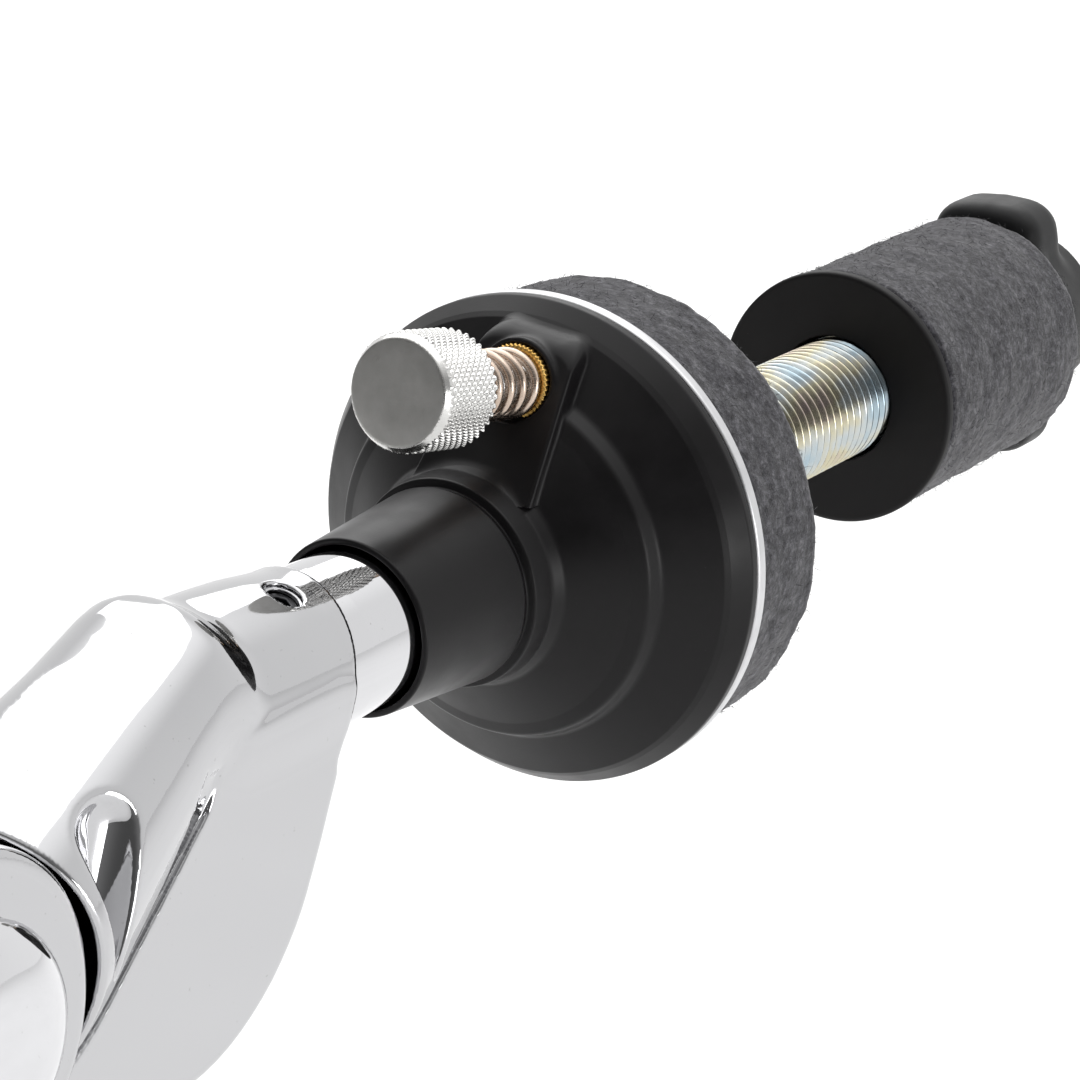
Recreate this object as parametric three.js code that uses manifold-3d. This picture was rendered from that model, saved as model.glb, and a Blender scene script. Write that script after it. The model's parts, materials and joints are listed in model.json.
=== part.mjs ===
// Closed hi-hat cymbal holder: an arm, a tilting chrome head, a threaded rod with a tiltable cymbal seat,
// and an upper felt that a wing nut presses down. Millimetres, +Z up. The origin is the centre of the
// arm's lower end, and at rest the threaded rod lies level and points along +Y.
import * as THREE from "three";
import * as BufferGeometryUtils from "three/addons/utils/BufferGeometryUtils.js";
import Module from "manifold-3d";

const wasm = await Module();
wasm.setup();

// ---- Driving dimensions ------------------------------------------------------------------------------
const GAP = 0.3; // clearance between touching pieces
const ROUND = 36; // sides of a turned piece
const FINE_ROUND = 20; // sides of a small turned piece
const THROUGH = 20; // reach of a cut that goes right through, either way

const PIVOT_HEIGHT = 130; // tilt pivot above the arm's lower end
const ROD_RISE = 10; // rod axis above the tilt pivot
const NECK_REACH = 59; // seat cup's near end ahead of the tilt pivot

const ARM_RADIUS = 9.5;
const ARM_WALL = 1.5;
const ARM_SOCKET_DEPTH = 22;
const CLAMP_SCREW_RISE = 11; // arm clamp screw above the socket's lower end
const CLAMP_SCREW_RADIUS = 3;

const DRUM_RADIUS = 13.3; // round cheeks of the lower casting
const DRUM_CLEARANCE = 0.9; // parting gap between the two castings
const CHEEK_OUTER = 10.4;
const CHEEK_INNER = 4.9;
const TONGUE_HALF = 3.6;
const BOLT_RADIUS = 3.9;
const DISC_RADIUS = 11; // friction discs
const DISC_THICK = 0.7;
const BOLT_WASHER_RADIUS = 8.6;

const WEB_HALF = 7.5; // flat gusset below the rod socket
const SET_SCREW_Y = -11.9;
const SET_SCREW_RADIUS = 1.4;
const SET_HOLE_RADIUS = 1.7;
const SET_SCREW_TURN = THREE.MathUtils.degToRad(19); // from +Z to +X
const SOCKET_BORE = 5.2;
const SPIGOT_RADIUS = 4.9;
const ROD_RADIUS = 6.03;
const ROD_START = -30;
const ROD_END = 121.5;
const COLLAR_RADIUS = 6.75;
const COLLAR_BORE = 7.15; // mouth of the socket around the collar
const CUP_MOUTH_RADIUS = 7.05; // cup's bore around the collar
const CUP_MOUTH_DEPTH = 8.6;
const LOCK_NUT_FLATS = 17;
const LOCK_NUT_NEAR = 20.1;
const LOCK_NUT_FAR = 25.6;

const RIM_RADIUS = 22;
const PLATE_NEAR = 28.5;
const PLATE_FAR = 29.8;
const PLATE_BORE = 7.5;
const FELT_FAR = 40.7;
const LOWER_FELT_RADIUS = 21.3;

const CLAMP_NEAR = 82; // upper washer's face, opposite the lower felt
const CLAMP_WASHER = 1.1;
const CLAMP_FAR = 112.9;
const CLAMP_RADIUS = 12.75;

const SCREW_AROUND = THREE.MathUtils.degToRad(8.4); // tilt screw's place around the rod, from +Z to +X
const SCREW_LEAN = THREE.MathUtils.degToRad(10.7); // tilt screw's lean towards the rod
const INSERT_OUT = 16.46; // insert's distance from the rod axis
const INSERT_Y = 20.8;
const INSERT_RADIUS = 3.3;
const INSERT_DEPTH = 6.5;
const INSERT_PROUD = 0.3; // how far the insert stands out of the boss
const KNOB_RADIUS = 5;
const KNOB_LENGTH = 7.6;
const KNOB_REACH = 18.1; // insert face to the knob's outer face
const SPRING_RADIUS = 3.05;
const SPRING_WIRE = 0.45; // radius of its wire
const SPRING_TURNS = 4.5;

// ---- Materials ----------------------------------------------------------------------------------------
const CHROME = { color: 0xdfe2e6, roughness: 0.08, metalness: 1 };
const STEEL = { color: 0xc4c6c8, roughness: 0.3, metalness: 1 };
const ZINC = { color: 0xd8d9cc, roughness: 0.25, metalness: 1 };
const COPPER = { color: 0xb89a86, roughness: 0.3, metalness: 1 };
const BRASS = { color: 0xb98a3a, roughness: 0.35, metalness: 1 };
const BLACK_PLASTIC = { color: 0x1c1c1e, roughness: 0.45, metalness: 0 };
const BLACK_STEEL = { color: 0x222224, roughness: 0.4, metalness: 1 };
const GREY_NYLON = { color: 0x8a8a88, roughness: 0.6, metalness: 0 };
const FELT = { color: 0x57575e, roughness: 1, metalness: 0 };

// ---- Frames -------------------------------------------------------------------------------------------
// The head group's own frame has the rod axis as Y, with zero at the seat cup's near end.
const assembly = new THREE.Group();
const head = new THREE.Group();
head.position.set(0, NECK_REACH, PIVOT_HEIGHT + ROD_RISE);
assembly.add(head);
// The pivot group's own frame has its zero at the tilt pivot.
const pivot = new THREE.Group();
pivot.position.set(0, 0, PIVOT_HEIGHT);
assembly.add(pivot);
// The screw group's own frame has +Y along the tilt screw into the cup, with zero at the insert's face.
const screw = new THREE.Group();
const screwIn = new THREE.Vector3(
  -Math.sin(SCREW_LEAN) * Math.sin(SCREW_AROUND),
  Math.cos(SCREW_LEAN),
  -Math.sin(SCREW_LEAN) * Math.cos(SCREW_AROUND),
);
screw.position.set(INSERT_OUT * Math.sin(SCREW_AROUND), INSERT_Y, INSERT_OUT * Math.cos(SCREW_AROUND));
screw.quaternion.setFromUnitVectors(new THREE.Vector3(0, 1, 0), screwIn);
head.add(screw);

// ---- Small tools --------------------------------------------------------------------------------------
function weld(geometry) {
  const bare = geometry.index ? geometry.toNonIndexed() : geometry.clone();
  bare.deleteAttribute("normal");
  bare.deleteAttribute("uv");
  const merged = BufferGeometryUtils.mergeVertices(bare, 1e-4);
  const source = merged.index.array;
  const kept = [];
  for (let i = 0; i < source.length; i += 3) {
    const [a, b, c] = [source[i], source[i + 1], source[i + 2]];
    if (a !== b && b !== c && c !== a) kept.push(a, b, c);
  }
  merged.setIndex(kept);
  if (signedVolume(merged) < 0) {
    for (let i = 0; i < kept.length; i += 3) [kept[i], kept[i + 1]] = [kept[i + 1], kept[i]];
    merged.setIndex(kept);
  }
  return merged;
}

function signedVolume(geometry) {
  const position = geometry.attributes.position;
  const index = geometry.index.array;
  const corners = [new THREE.Vector3(), new THREE.Vector3(), new THREE.Vector3()];
  let six = 0;
  for (let i = 0; i < index.length; i += 3) {
    corners.forEach((corner, k) => corner.fromBufferAttribute(position, index[i + k]));
    six += corners[0].dot(corners[1].cross(corners[2]));
  }
  return six / 6;
}

function toSolid(geometry) {
  const welded = weld(geometry);
  return new wasm.Manifold(
    new wasm.Mesh({
      numProp: 3,
      vertProperties: new Float32Array(welded.attributes.position.array),
      triVerts: new Uint32Array(welded.index.array),
    }),
  );
}

function toGeometry(solid) {
  const mesh = solid.getMesh();
  const geometry = new THREE.BufferGeometry();
  geometry.setAttribute("position", new THREE.BufferAttribute(mesh.vertProperties, 3));
  geometry.setIndex(new THREE.BufferAttribute(mesh.triVerts, 1));
  return geometry;
}

function join(first, ...others) {
  return toGeometry(others.reduce((sum, other) => sum.add(toSolid(other)), toSolid(first)));
}

function cut(first, ...others) {
  return toGeometry(others.reduce((rest, other) => rest.subtract(toSolid(other)), toSolid(first)));
}

// A turned piece about the Y axis, from [radius, y] pairs that start and end on the axis.
function turned(profile, sides = ROUND) {
  return weld(new THREE.LatheGeometry(profile.map(([r, y]) => new THREE.Vector2(r, y)), sides));
}

// A turned ring about the Y axis, from [radius, y] pairs that go once round its section.
function ring(profile, sides = ROUND) {
  return turned([...profile, profile[0]], sides);
}

function rod(radius, from, to, sides = ROUND) {
  return turned([[0, from], [radius, from], [radius, to], [0, to]], sides);
}

function tube(outer, inner, from, to, sides = ROUND) {
  return ring([[inner, from], [outer, from], [outer, to], [inner, to]], sides);
}

// Turns a piece made about Y so that its axis runs along +X or +Z.
function alongX(geometry) {
  return geometry.rotateZ(-Math.PI / 2);
}

function alongZ(geometry) {
  return geometry.rotateX(Math.PI / 2);
}

// A plate from a [y, z] outline, as thick as the span of x given.
function plateYZ(outline, fromX, toX) {
  const shape = new THREE.Shape(outline.map(([y, z]) => new THREE.Vector2(y, z)));
  const geometry = new THREE.ExtrudeGeometry(shape, { depth: toX - fromX, bevelEnabled: false });
  const turn = new THREE.Matrix4().makeBasis(
    new THREE.Vector3(0, 1, 0),
    new THREE.Vector3(0, 0, 1),
    new THREE.Vector3(1, 0, 0),
  );
  return geometry.applyMatrix4(turn).translate(fromX, 0, 0);
}

// Points on an arc of a [y, z] outline, in degrees from +Y towards +Z.
function arc(centreY, centreZ, radius, fromDeg, toDeg, steps) {
  return Array.from({ length: steps + 1 }, (_, i) => {
    const angle = THREE.MathUtils.degToRad(fromDeg + ((toDeg - fromDeg) * i) / steps);
    return [centreY + radius * Math.cos(angle), centreZ + radius * Math.sin(angle)];
  });
}

// A plate from an [x, z] outline, thick along Y.
function plateXZ(outline, fromY, toY) {
  const shape = new THREE.Shape(outline.map(([x, z]) => new THREE.Vector2(x, -z)));
  const geometry = new THREE.ExtrudeGeometry(shape, { depth: toY - fromY, bevelEnabled: false });
  return geometry.rotateX(-Math.PI / 2).translate(0, fromY, 0);
}

function hexagon(acrossFlats, startDeg) {
  const corner = acrossFlats / Math.sqrt(3);
  return arc(0, 0, corner, startDeg, startDeg + 300, 5);
}

function add(parent, name, geometry, finish) {
  const mesh = new THREE.Mesh(weld(geometry), new THREE.MeshStandardMaterial(finish));
  mesh.name = name;
  parent.add(mesh);
}

// ---- Arm and lower casting ----------------------------------------------------------------------------
const SOCKET_TOP = PIVOT_HEIGHT - 24;
const SOCKET_BOTTOM = SOCKET_TOP - ARM_SOCKET_DEPTH - 4;
const SOCKET_RADIUS = 13;
const CAP_FLANGE = 3;

function makeArm() {
  const top = SOCKET_BOTTOM + ARM_SOCKET_DEPTH;
  const pipe = alongZ(tube(ARM_RADIUS, ARM_RADIUS - ARM_WALL, CAP_FLANGE + GAP, top));
  add(assembly, "arm_tube", pipe, CHROME);
  const plug = turned([
    [0, 0],
    [8.7, 0],
    [9.4, 0.8],
    [9.4, CAP_FLANGE],
    [7.6, CAP_FLANGE],
    [7.3, 15],
    [0, 15],
  ]);
  add(assembly, "arm_end_cap", alongZ(plug), BLACK_PLASTIC);
}

function makeLowerCasting() {
  const drum = alongX(rod(DRUM_RADIUS, -CHEEK_OUTER, CHEEK_OUTER)).translate(0, 0, PIVOT_HEIGHT);
  const shoulders = [[7.8, -10.8], [11.5, -20], [11.5, -25], [-11.5, -25], [-11.5, -20], [-7.8, -10.8]];
  const neck = plateYZ(shoulders, -CHEEK_OUTER, CHEEK_OUTER).translate(0, 0, PIVOT_HEIGHT);
  const chamfer = 1.2;
  const barrel = alongZ(
    turned([
      [0, SOCKET_BOTTOM],
      [SOCKET_RADIUS - chamfer, SOCKET_BOTTOM],
      [SOCKET_RADIUS, SOCKET_BOTTOM + chamfer],
      [SOCKET_RADIUS, SOCKET_TOP],
      [SOCKET_RADIUS - 2, SOCKET_TOP + 4],
      [0, SOCKET_TOP + 4],
    ]),
  );
  const slot = alongX(rod(DRUM_RADIUS + 0.5, -CHEEK_INNER, CHEEK_INNER)).translate(0, 0, PIVOT_HEIGHT);
  const bolt = alongX(rod(BOLT_RADIUS + GAP, -THROUGH, THROUGH, FINE_ROUND)).translate(0, 0, PIVOT_HEIGHT);
  const armHole = alongZ(rod(ARM_RADIUS + GAP, SOCKET_BOTTOM - 5, SOCKET_BOTTOM + ARM_SOCKET_DEPTH + GAP));
  const screwHole = rod(CLAMP_SCREW_RADIUS + GAP, -THROUGH, -ARM_RADIUS + 1, FINE_ROUND);
  screwHole.translate(0, 0, SOCKET_BOTTOM + CLAMP_SCREW_RISE);
  add(assembly, "tilter_base", cut(join(drum, neck, barrel), slot, bolt, armHole, screwHole), CHROME);
  makeClampScrew();
}

function makeClampScrew() {
  const seat = -13.6;
  const shank = rod(CLAMP_SCREW_RADIUS, seat, -ARM_RADIUS - GAP, FINE_ROUND);
  const cap = turned([[0, -18.5], [4.4, -18.5], [5, -17.8], [5, seat], [0, seat]], FINE_ROUND);
  const key = plateXZ(hexagon(4, 30), -THROUGH, -15.5);
  const screwBody = cut(join(shank, cap), key).translate(0, 0, SOCKET_BOTTOM + CLAMP_SCREW_RISE);
  add(assembly, "base_clamp_screw", screwBody, BLACK_STEEL);
}

// ---- Tilt pivot hardware, in the pivot frame ----------------------------------------------------------
const WASHER_OUTER = -12.3;
const BOLT_END = -25;

function makePivotHardware() {
  const headFace = CHEEK_OUTER + GAP;
  const boltProfile = [
    [0, BOLT_END],
    [BOLT_RADIUS - 0.6, BOLT_END],
    [BOLT_RADIUS, BOLT_END + 0.6],
    [BOLT_RADIUS, headFace],
    [8.6, headFace],
    [8.4, headFace + 1.4],
    [6.6, headFace + 2.9],
    [3.6, headFace + 3.8],
    [0, headFace + 4],
  ];
  add(pivot, "pivot_bolt", alongX(turned(boltProfile, FINE_ROUND)), CHROME);
  for (const [name, near] of [["friction_disc_left", -4.6], ["friction_disc_right", 3.9]]) {
    const disc = tube(DISC_RADIUS, BOLT_RADIUS + GAP, near, near + DISC_THICK, FINE_ROUND);
    add(pivot, name, alongX(disc), GREY_NYLON);
  }
  const washer = tube(BOLT_WASHER_RADIUS, BOLT_RADIUS + GAP, WASHER_OUTER, -CHEEK_OUTER - GAP, FINE_ROUND);
  add(pivot, "pivot_washer", alongX(washer), STEEL);
  add(pivot, "pivot_wing_nut", pivotWingNut(), CHROME);
}

function pivotWingNut() {
  const seat = WASHER_OUTER - GAP;
  const hubProfile = [
    [0, seat - 10],
    [5.8, seat - 10],
    [7.4, seat - 1],
    [7.4, seat],
    [0, seat],
  ];
  const hub = alongX(turned(hubProfile, FINE_ROUND));
  const wing = new THREE.Shape();
  wing.moveTo(-3, seat - 9);
  wing.lineTo(-3, seat - 4);
  wing.lineTo(9, seat - 5);
  wing.bezierCurveTo(17, seat - 5.5, 22, seat - 9, 22, seat - 12);
  wing.bezierCurveTo(22, seat - 15.5, 15, seat - 15, 8, seat - 10);
  const blade = (flip) => {
    const geometry = new THREE.ExtrudeGeometry(wing, { depth: 3.6, bevelEnabled: false, curveSegments: 7 });
    geometry.translate(0, 0, -1.8).rotateZ(Math.PI / 2).rotateX(Math.PI / 2);
    geometry.applyMatrix4(new THREE.Matrix4().makeBasis(
      new THREE.Vector3(-1, 0, 0),
      new THREE.Vector3(0, -1, 0),
      new THREE.Vector3(0, 0, 1),
    ));
    return flip ? geometry.rotateX(Math.PI) : geometry;
  };
  const body = join(hub, blade(false), blade(true));
  return cut(body, alongX(rod(BOLT_RADIUS + GAP, -40, 0, FINE_ROUND)));
}

// ---- Upper casting, in the head frame -----------------------------------------------------------------
function roundedHousing() {
  const profile = [
    [0, -3.4],
    [3.4, -2.8],
    [5.4, -0.8],
    [6.4, 2],
    [7.6, 7],
    [8.85, 14],
    [10.1, 20],
    [11.1, 27],
    [11.2, 34],
    [0, 34],
  ];
  const direction = new THREE.Vector3(0, -0.876, -0.482).normalize();
  const turn = new THREE.Quaternion().setFromUnitVectors(new THREE.Vector3(0, 1, 0), direction);
  return turned(profile).applyQuaternion(turn).translate(0, -23.3, 3.7);
}

function rodSocket() {
  const profile = [
    [0, -31],
    [5.5, -30.6],
    [7.6, -28],
    [8.6, -24],
    [8.7, -21],
    [8.3, -15],
    [7.7, -10],
    [7.5, -6.6],
    [0, -6.6],
  ];
  return turned(profile);
}

function gusset() {
  const outline = [
    [-6.6, 0],
    [-9.2, -0.5],
    [-9.9, -2.8],
    [-10.9, -5.4],
    [-12.7, -9.2],
    [-14.7, -13.3],
    [-17.5, -18],
    [-22, -22.4],
    [-28, -25.4],
    [-35, -26],
    [-42, -23.2],
    [-47.6, -18.9],
    [-47, -8],
    [-30, 0],
    [-12, 0],
  ];
  return plateYZ(outline, -WEB_HALF, WEB_HALF);
}

function makeUpperCasting() {
  const pivotY = -NECK_REACH;
  const pivotZ = -ROD_RISE;
  const atPivot = (geometry) => geometry.translate(0, pivotY, pivotZ);
  const clearance = atPivot(alongX(rod(DRUM_RADIUS + DRUM_CLEARANCE, -THROUGH, THROUGH)));
  const belowOutline = [[-47.9, -18.7], [-36, -28.4], [-60, -45], [-80, -20], [pivotY, pivotZ]];
  const below = plateYZ(belowOutline, -THROUGH, THROUGH);
  const behind = plateYZ([[pivotY, pivotZ], [-80, -20], [-80, 20], [-53, 20]], -THROUGH, THROUGH);
  const shell = cut(join(rodSocket(), gusset(), roundedHousing()), clearance, below, behind);
  const tongueRadius = DRUM_RADIUS - 0.3;
  const eye = atPivot(alongX(rod(tongueRadius, -TONGUE_HALF, TONGUE_HALF)));
  const bridgeOutline = [[-59, -8], [-52.5, 1.2], [-40, 0], [-40, -15], [-49, -17.4]];
  const bridge = plateYZ(bridgeOutline, -TONGUE_HALF, TONGUE_HALF);
  const boltHole = atPivot(alongX(rod(BOLT_RADIUS + GAP, -THROUGH, THROUGH, FINE_ROUND)));
  const setHole = alongZ(rod(SET_HOLE_RADIUS, 0, 12, FINE_ROUND));
  setHole.rotateY(SET_SCREW_TURN).translate(0, SET_SCREW_Y, 0);
  const body = cut(join(shell, eye, bridge), ...socketMouth(), boltHole, setHole, scoopedRecess());
  add(head, "tilter_body", body, CHROME);
}

// What is cut from the rod socket: its slanting end face, the collar's seat and the rod's bore.
function socketMouth() {
  const faceOutline = [[-10.2, -4], [-6.9, 10], [0, 10], [0, -20], [-12.2, -20], [-11.5, -6]];
  const face = plateYZ(faceOutline, -THROUGH, THROUGH);
  const endCut = toGeometry(toSolid(face).intersect(toSolid(rod(9.4, -14, 0))));
  const seat = rod(COLLAR_BORE, -10.5, 0);
  const bore = rod(SOCKET_BORE, ROD_START - GAP, 0);
  return [endCut, seat, bore];
}

// A teardrop hollow in the housing's flank: round at its top and pointed at its foot.
function scoopedRecess() {
  const topRadius = 3.1;
  const lean = THREE.MathUtils.degToRad(-8);
  const drop = [...arc(0, 0, topRadius, -20, 200, 9), [0.6, -11]];
  return plateYZ(drop, 0, 8).rotateX(lean).translate(7.6, -41.4, -1);
}

function makeSetScrew() {
  const key = plateXZ(hexagon(1.3, 0), 6.2, 8);
  const grub = alongZ(cut(rod(SET_SCREW_RADIUS, 5.3, 7, FINE_ROUND), key));
  add(head, "rod_set_screw", grub.rotateY(SET_SCREW_TURN).translate(0, SET_SCREW_Y, 0), BLACK_STEEL);
}

// ---- Rod and seat cup, in the head frame --------------------------------------------------------------
function makeRod() {
  const shoulder = -9;
  const profile = [
    [0, ROD_START],
    [SPIGOT_RADIUS, ROD_START],
    [SPIGOT_RADIUS, shoulder],
    [ROD_RADIUS, shoulder],
    [ROD_RADIUS, ROD_END - 1],
    [ROD_RADIUS - 1, ROD_END],
    [0, ROD_END],
  ];
  add(head, "threaded_rod", turned(profile), ZINC);
  const collar = ring([
    [ROD_RADIUS + GAP, -10.2],
    [6.9, -10.2],
    [6.9, -6],
    [COLLAR_RADIUS, 0],
    [COLLAR_RADIUS - 0.15, 8.2],
    [ROD_RADIUS + GAP, 8.2],
  ]);
  const spigotRelief = rod(ROD_RADIUS + GAP, -THROUGH, THROUGH);
  add(head, "rod_collar", cut(collar, spigotRelief), CHROME);
}

const RIM_EDGE = PLATE_NEAR - GAP;

function cupShell() {
  const outside = [
    [7.62, 0],
    [8.85, 13.2],
    [9.2, 13.4],
    [9.35, 16],
    [9.8, 17],
    [14.4, 20.2],
    [15.6, 20.9],
    [16.1, 22.2],
    [20.5, 25.2],
    [21, 25.8],
    [RIM_RADIUS, RIM_EDGE],
  ];
  const inside = [
    [19.6, RIM_EDGE],
    [19.3, 27.2],
    [15.4, 24.3],
    [10.2, 19.8],
    [ROD_RADIUS + GAP, 19.8],
    [ROD_RADIUS + GAP, CUP_MOUTH_DEPTH],
    [CUP_MOUTH_RADIUS, CUP_MOUTH_DEPTH],
    [CUP_MOUTH_RADIUS, 0],
  ];
  return ring([...outside, ...inside]);
}

// Raised block on the cup that carries the tilt screw: its face slopes like the cup's inner step.
const BOSS_TOP = 20.4;
const BOSS_FOOT = 9.2;
const BOSS_FOOT_Y = 16.7;
const BOSS_SLOPE = 0.55;

function boss() {
  const topHalf = 4.5;
  const footHalf = 5.7;
  const round = 1.2;
  const outline = [
    [-footHalf, BOSS_FOOT],
    [-topHalf, BOSS_TOP - round],
    [-topHalf + round, BOSS_TOP],
    [topHalf - round, BOSS_TOP],
    [topHalf, BOSS_TOP - round],
    [footHalf, BOSS_FOOT],
  ];
  const block = plateXZ(outline, 10, 26.2);
  const foreY = (z) => BOSS_FOOT_Y + BOSS_SLOPE * (z - BOSS_FOOT);
  const front = plateYZ([[foreY(0), 0], [foreY(30), 30], [0, 30], [0, 0]], -15, 15);
  return cut(block, front).rotateY(SCREW_AROUND);
}

function makeCup() {
  const toScrew = (geometry) => {
    geometry.applyQuaternion(screw.quaternion);
    return geometry.translate(...screw.position.toArray());
  };
  const post = toScrew(rod(3.9, 0.1, INSERT_DEPTH + 0.4, FINE_ROUND));
  const pocket = toScrew(rod(INSERT_RADIUS + 0.2, -4, INSERT_DEPTH + 3, FINE_ROUND));
  const hollow = rod(ROD_RADIUS + GAP, 8, 30);
  const nutRoom = plateXZ(hexagon(LOCK_NUT_FLATS + 2 * GAP, 30), LOCK_NUT_NEAR - 0.2, 30);
  const mouth = rod(CUP_MOUTH_RADIUS, -1, CUP_MOUTH_DEPTH);
  const body = cut(join(cupShell(), boss(), post), pocket, hollow, nutRoom, mouth);
  const trimmed = cut(body, rod(40, RIM_EDGE, RIM_EDGE + 10));
  add(head, "seat_cup", trimmed, BLACK_PLASTIC);
  const nut = plateXZ(hexagon(LOCK_NUT_FLATS, 30), LOCK_NUT_NEAR, LOCK_NUT_FAR);
  add(head, "seat_lock_nut", cut(nut, rod(ROD_RADIUS + GAP, 0, 40)), STEEL);
}

// ---- Tilt screw, in the screw frame -------------------------------------------------------------------
const SCREW_RADIUS = 1.85;
const WASHER_THICK = 0.6;

function makeTiltScrew() {
  const headEnd = -KNOB_REACH + KNOB_LENGTH;
  const insert = tube(INSERT_RADIUS, SCREW_RADIUS + GAP, -INSERT_PROUD, INSERT_DEPTH, FINE_ROUND);
  add(screw, "brass_insert", insert, BRASS);
  add(screw, "tilt_spring", springTube(headEnd + WASHER_THICK + 2 * GAP, -INSERT_PROUD - GAP), COPPER);
  const washerNear = headEnd + GAP;
  const washer = tube(3.2, SCREW_RADIUS + GAP, washerNear, washerNear + WASHER_THICK, FINE_ROUND);
  add(screw, "tilt_washer", washer, STEEL);
  const knob = turned([
    [0, -KNOB_REACH],
    [KNOB_RADIUS - 0.5, -KNOB_REACH],
    [KNOB_RADIUS, -KNOB_REACH + 0.5],
    [KNOB_RADIUS, headEnd - 0.4],
    [KNOB_RADIUS - 0.4, headEnd],
    [0, headEnd],
  ]);
  const socket = rod(SCREW_RADIUS + 0.1, headEnd - 4, headEnd + 4, FINE_ROUND);
  add(screw, "tilt_knob", cut(knob, socket), STEEL);
  const stem = turned([
    [0, headEnd - 3.7],
    [SCREW_RADIUS, headEnd - 3.7],
    [SCREW_RADIUS, 6.6],
    [SCREW_RADIUS - 0.8, 7.1],
    [0, 7.1],
  ], FINE_ROUND);
  add(screw, "tilt_screw", stem, STEEL);
}

// The spring is one open helix of round wire.
function springTube(from, to) {
  class Helix extends THREE.Curve {
    getPoint(t, target = new THREE.Vector3()) {
      const angle = t * SPRING_TURNS * 2 * Math.PI;
      const along = from + SPRING_WIRE + (to - from - 2 * SPRING_WIRE) * t;
      const radius = SPRING_RADIUS - SPRING_WIRE;
      return target.set(radius * Math.cos(angle), along, radius * Math.sin(angle));
    }
  }
  const section = new THREE.Shape();
  section.absarc(0, 0, SPRING_WIRE, 0, 2 * Math.PI);
  return new THREE.ExtrudeGeometry(section, {
    steps: SPRING_TURNS * 12,
    curveSegments: 3,
    extrudePath: new Helix(),
    bevelEnabled: false,
  });
}

// ---- Felts, plate, upper washer and wing nut, in the head frame ---------------------------------------
function makeSeatFelt() {
  const plate = ring([
    [PLATE_BORE, PLATE_NEAR],
    [RIM_RADIUS - 0.3, PLATE_NEAR],
    [RIM_RADIUS, PLATE_NEAR + 0.3],
    [RIM_RADIUS, PLATE_FAR - 0.3],
    [RIM_RADIUS - 0.3, PLATE_FAR],
    [PLATE_BORE, PLATE_FAR],
  ]);
  add(head, "tilt_plate", plate, STEEL);
  const near = PLATE_FAR + GAP;
  const felt = ring([
    [PLATE_BORE + 0.4, near],
    [LOWER_FELT_RADIUS - 0.6, near],
    [LOWER_FELT_RADIUS, near + 0.8],
    [LOWER_FELT_RADIUS, FELT_FAR - 1.2],
    [LOWER_FELT_RADIUS - 1.2, FELT_FAR],
    [PLATE_BORE + 0.4, FELT_FAR],
  ]);
  add(head, "lower_felt", felt, FELT);
}

function makeClamp() {
  const bore = ROD_RADIUS + GAP;
  const washerFar = CLAMP_NEAR + CLAMP_WASHER;
  const washer = ring([
    [bore, CLAMP_NEAR],
    [CLAMP_RADIUS - 0.3, CLAMP_NEAR],
    [CLAMP_RADIUS, CLAMP_NEAR + 0.3],
    [CLAMP_RADIUS, washerFar],
    [bore, washerFar],
  ]);
  add(head, "upper_washer", washer, BLACK_PLASTIC);
  const feltNear = washerFar + GAP;
  const felt = ring([
    [bore + 0.6, feltNear],
    [CLAMP_RADIUS, feltNear],
    [CLAMP_RADIUS, CLAMP_FAR - 0.8],
    [CLAMP_RADIUS - 0.8, CLAMP_FAR],
    [bore + 0.6, CLAMP_FAR],
  ]);
  add(head, "upper_felt", felt, FELT);
}

const NUT_NEAR = CLAMP_FAR + GAP;
const NUT_FAR = NUT_NEAR + 12.5;
const PADDLE_WIDTH = 12.6;
const PADDLE_REACH = 13.6;

function makeWingNut() {
  const hub = turned([
    [0, NUT_NEAR],
    [10.5, NUT_NEAR],
    [10.5, NUT_NEAR + 2],
    [9.4, NUT_NEAR + 4],
    [8.8, NUT_FAR - 1],
    [8, NUT_FAR],
    [0, NUT_FAR],
  ]);
  const half = PADDLE_WIDTH / 2;
  const outline = new THREE.Shape();
  outline.moveTo(-half, -7);
  outline.bezierCurveTo(-half - 0.2, -10, -half, -PADDLE_REACH, -half + 3.3, -PADDLE_REACH);
  outline.lineTo(half - 3.3, -PADDLE_REACH);
  outline.bezierCurveTo(half, -PADDLE_REACH, half + 0.2, -10, half, -7);
  outline.lineTo(half, 7);
  outline.bezierCurveTo(half + 0.2, 10, half, PADDLE_REACH, half - 3.3, PADDLE_REACH);
  outline.lineTo(-half + 3.3, PADDLE_REACH);
  outline.bezierCurveTo(-half, PADDLE_REACH, -half - 0.2, 10, -half, 7);
  const wings = new THREE.ExtrudeGeometry(outline, { depth: 7.5, bevelEnabled: false, curveSegments: 6 });
  wings.rotateX(-Math.PI / 2).translate(0, NUT_NEAR + 0.6, 0);
  const insertRoom = plateXZ(hexagon(15.4, 0), NUT_NEAR - 1, NUT_NEAR + 8.3);
  const through = rod(ROD_RADIUS + GAP, NUT_NEAR - 5, NUT_FAR + 5);
  add(head, "wing_nut", cut(join(hub, wings), insertRoom, through), BLACK_PLASTIC);
  const insert = cut(plateXZ(hexagon(15, 0), NUT_NEAR, NUT_NEAR + 8), rod(ROD_RADIUS + 0.15, 0, 200));
  add(head, "wing_nut_insert", insert, STEEL);
}

makeArm();
makeLowerCasting();
makePivotHardware();
makeUpperCasting();
makeSetScrew();
makeRod();
makeCup();
makeTiltScrew();
makeSeatFelt();
makeClamp();
makeWingNut();

export default assembly;
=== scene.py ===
import json
import math

import bmesh
import bpy
import numpy as np
from mathutils import Matrix, Vector


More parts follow.
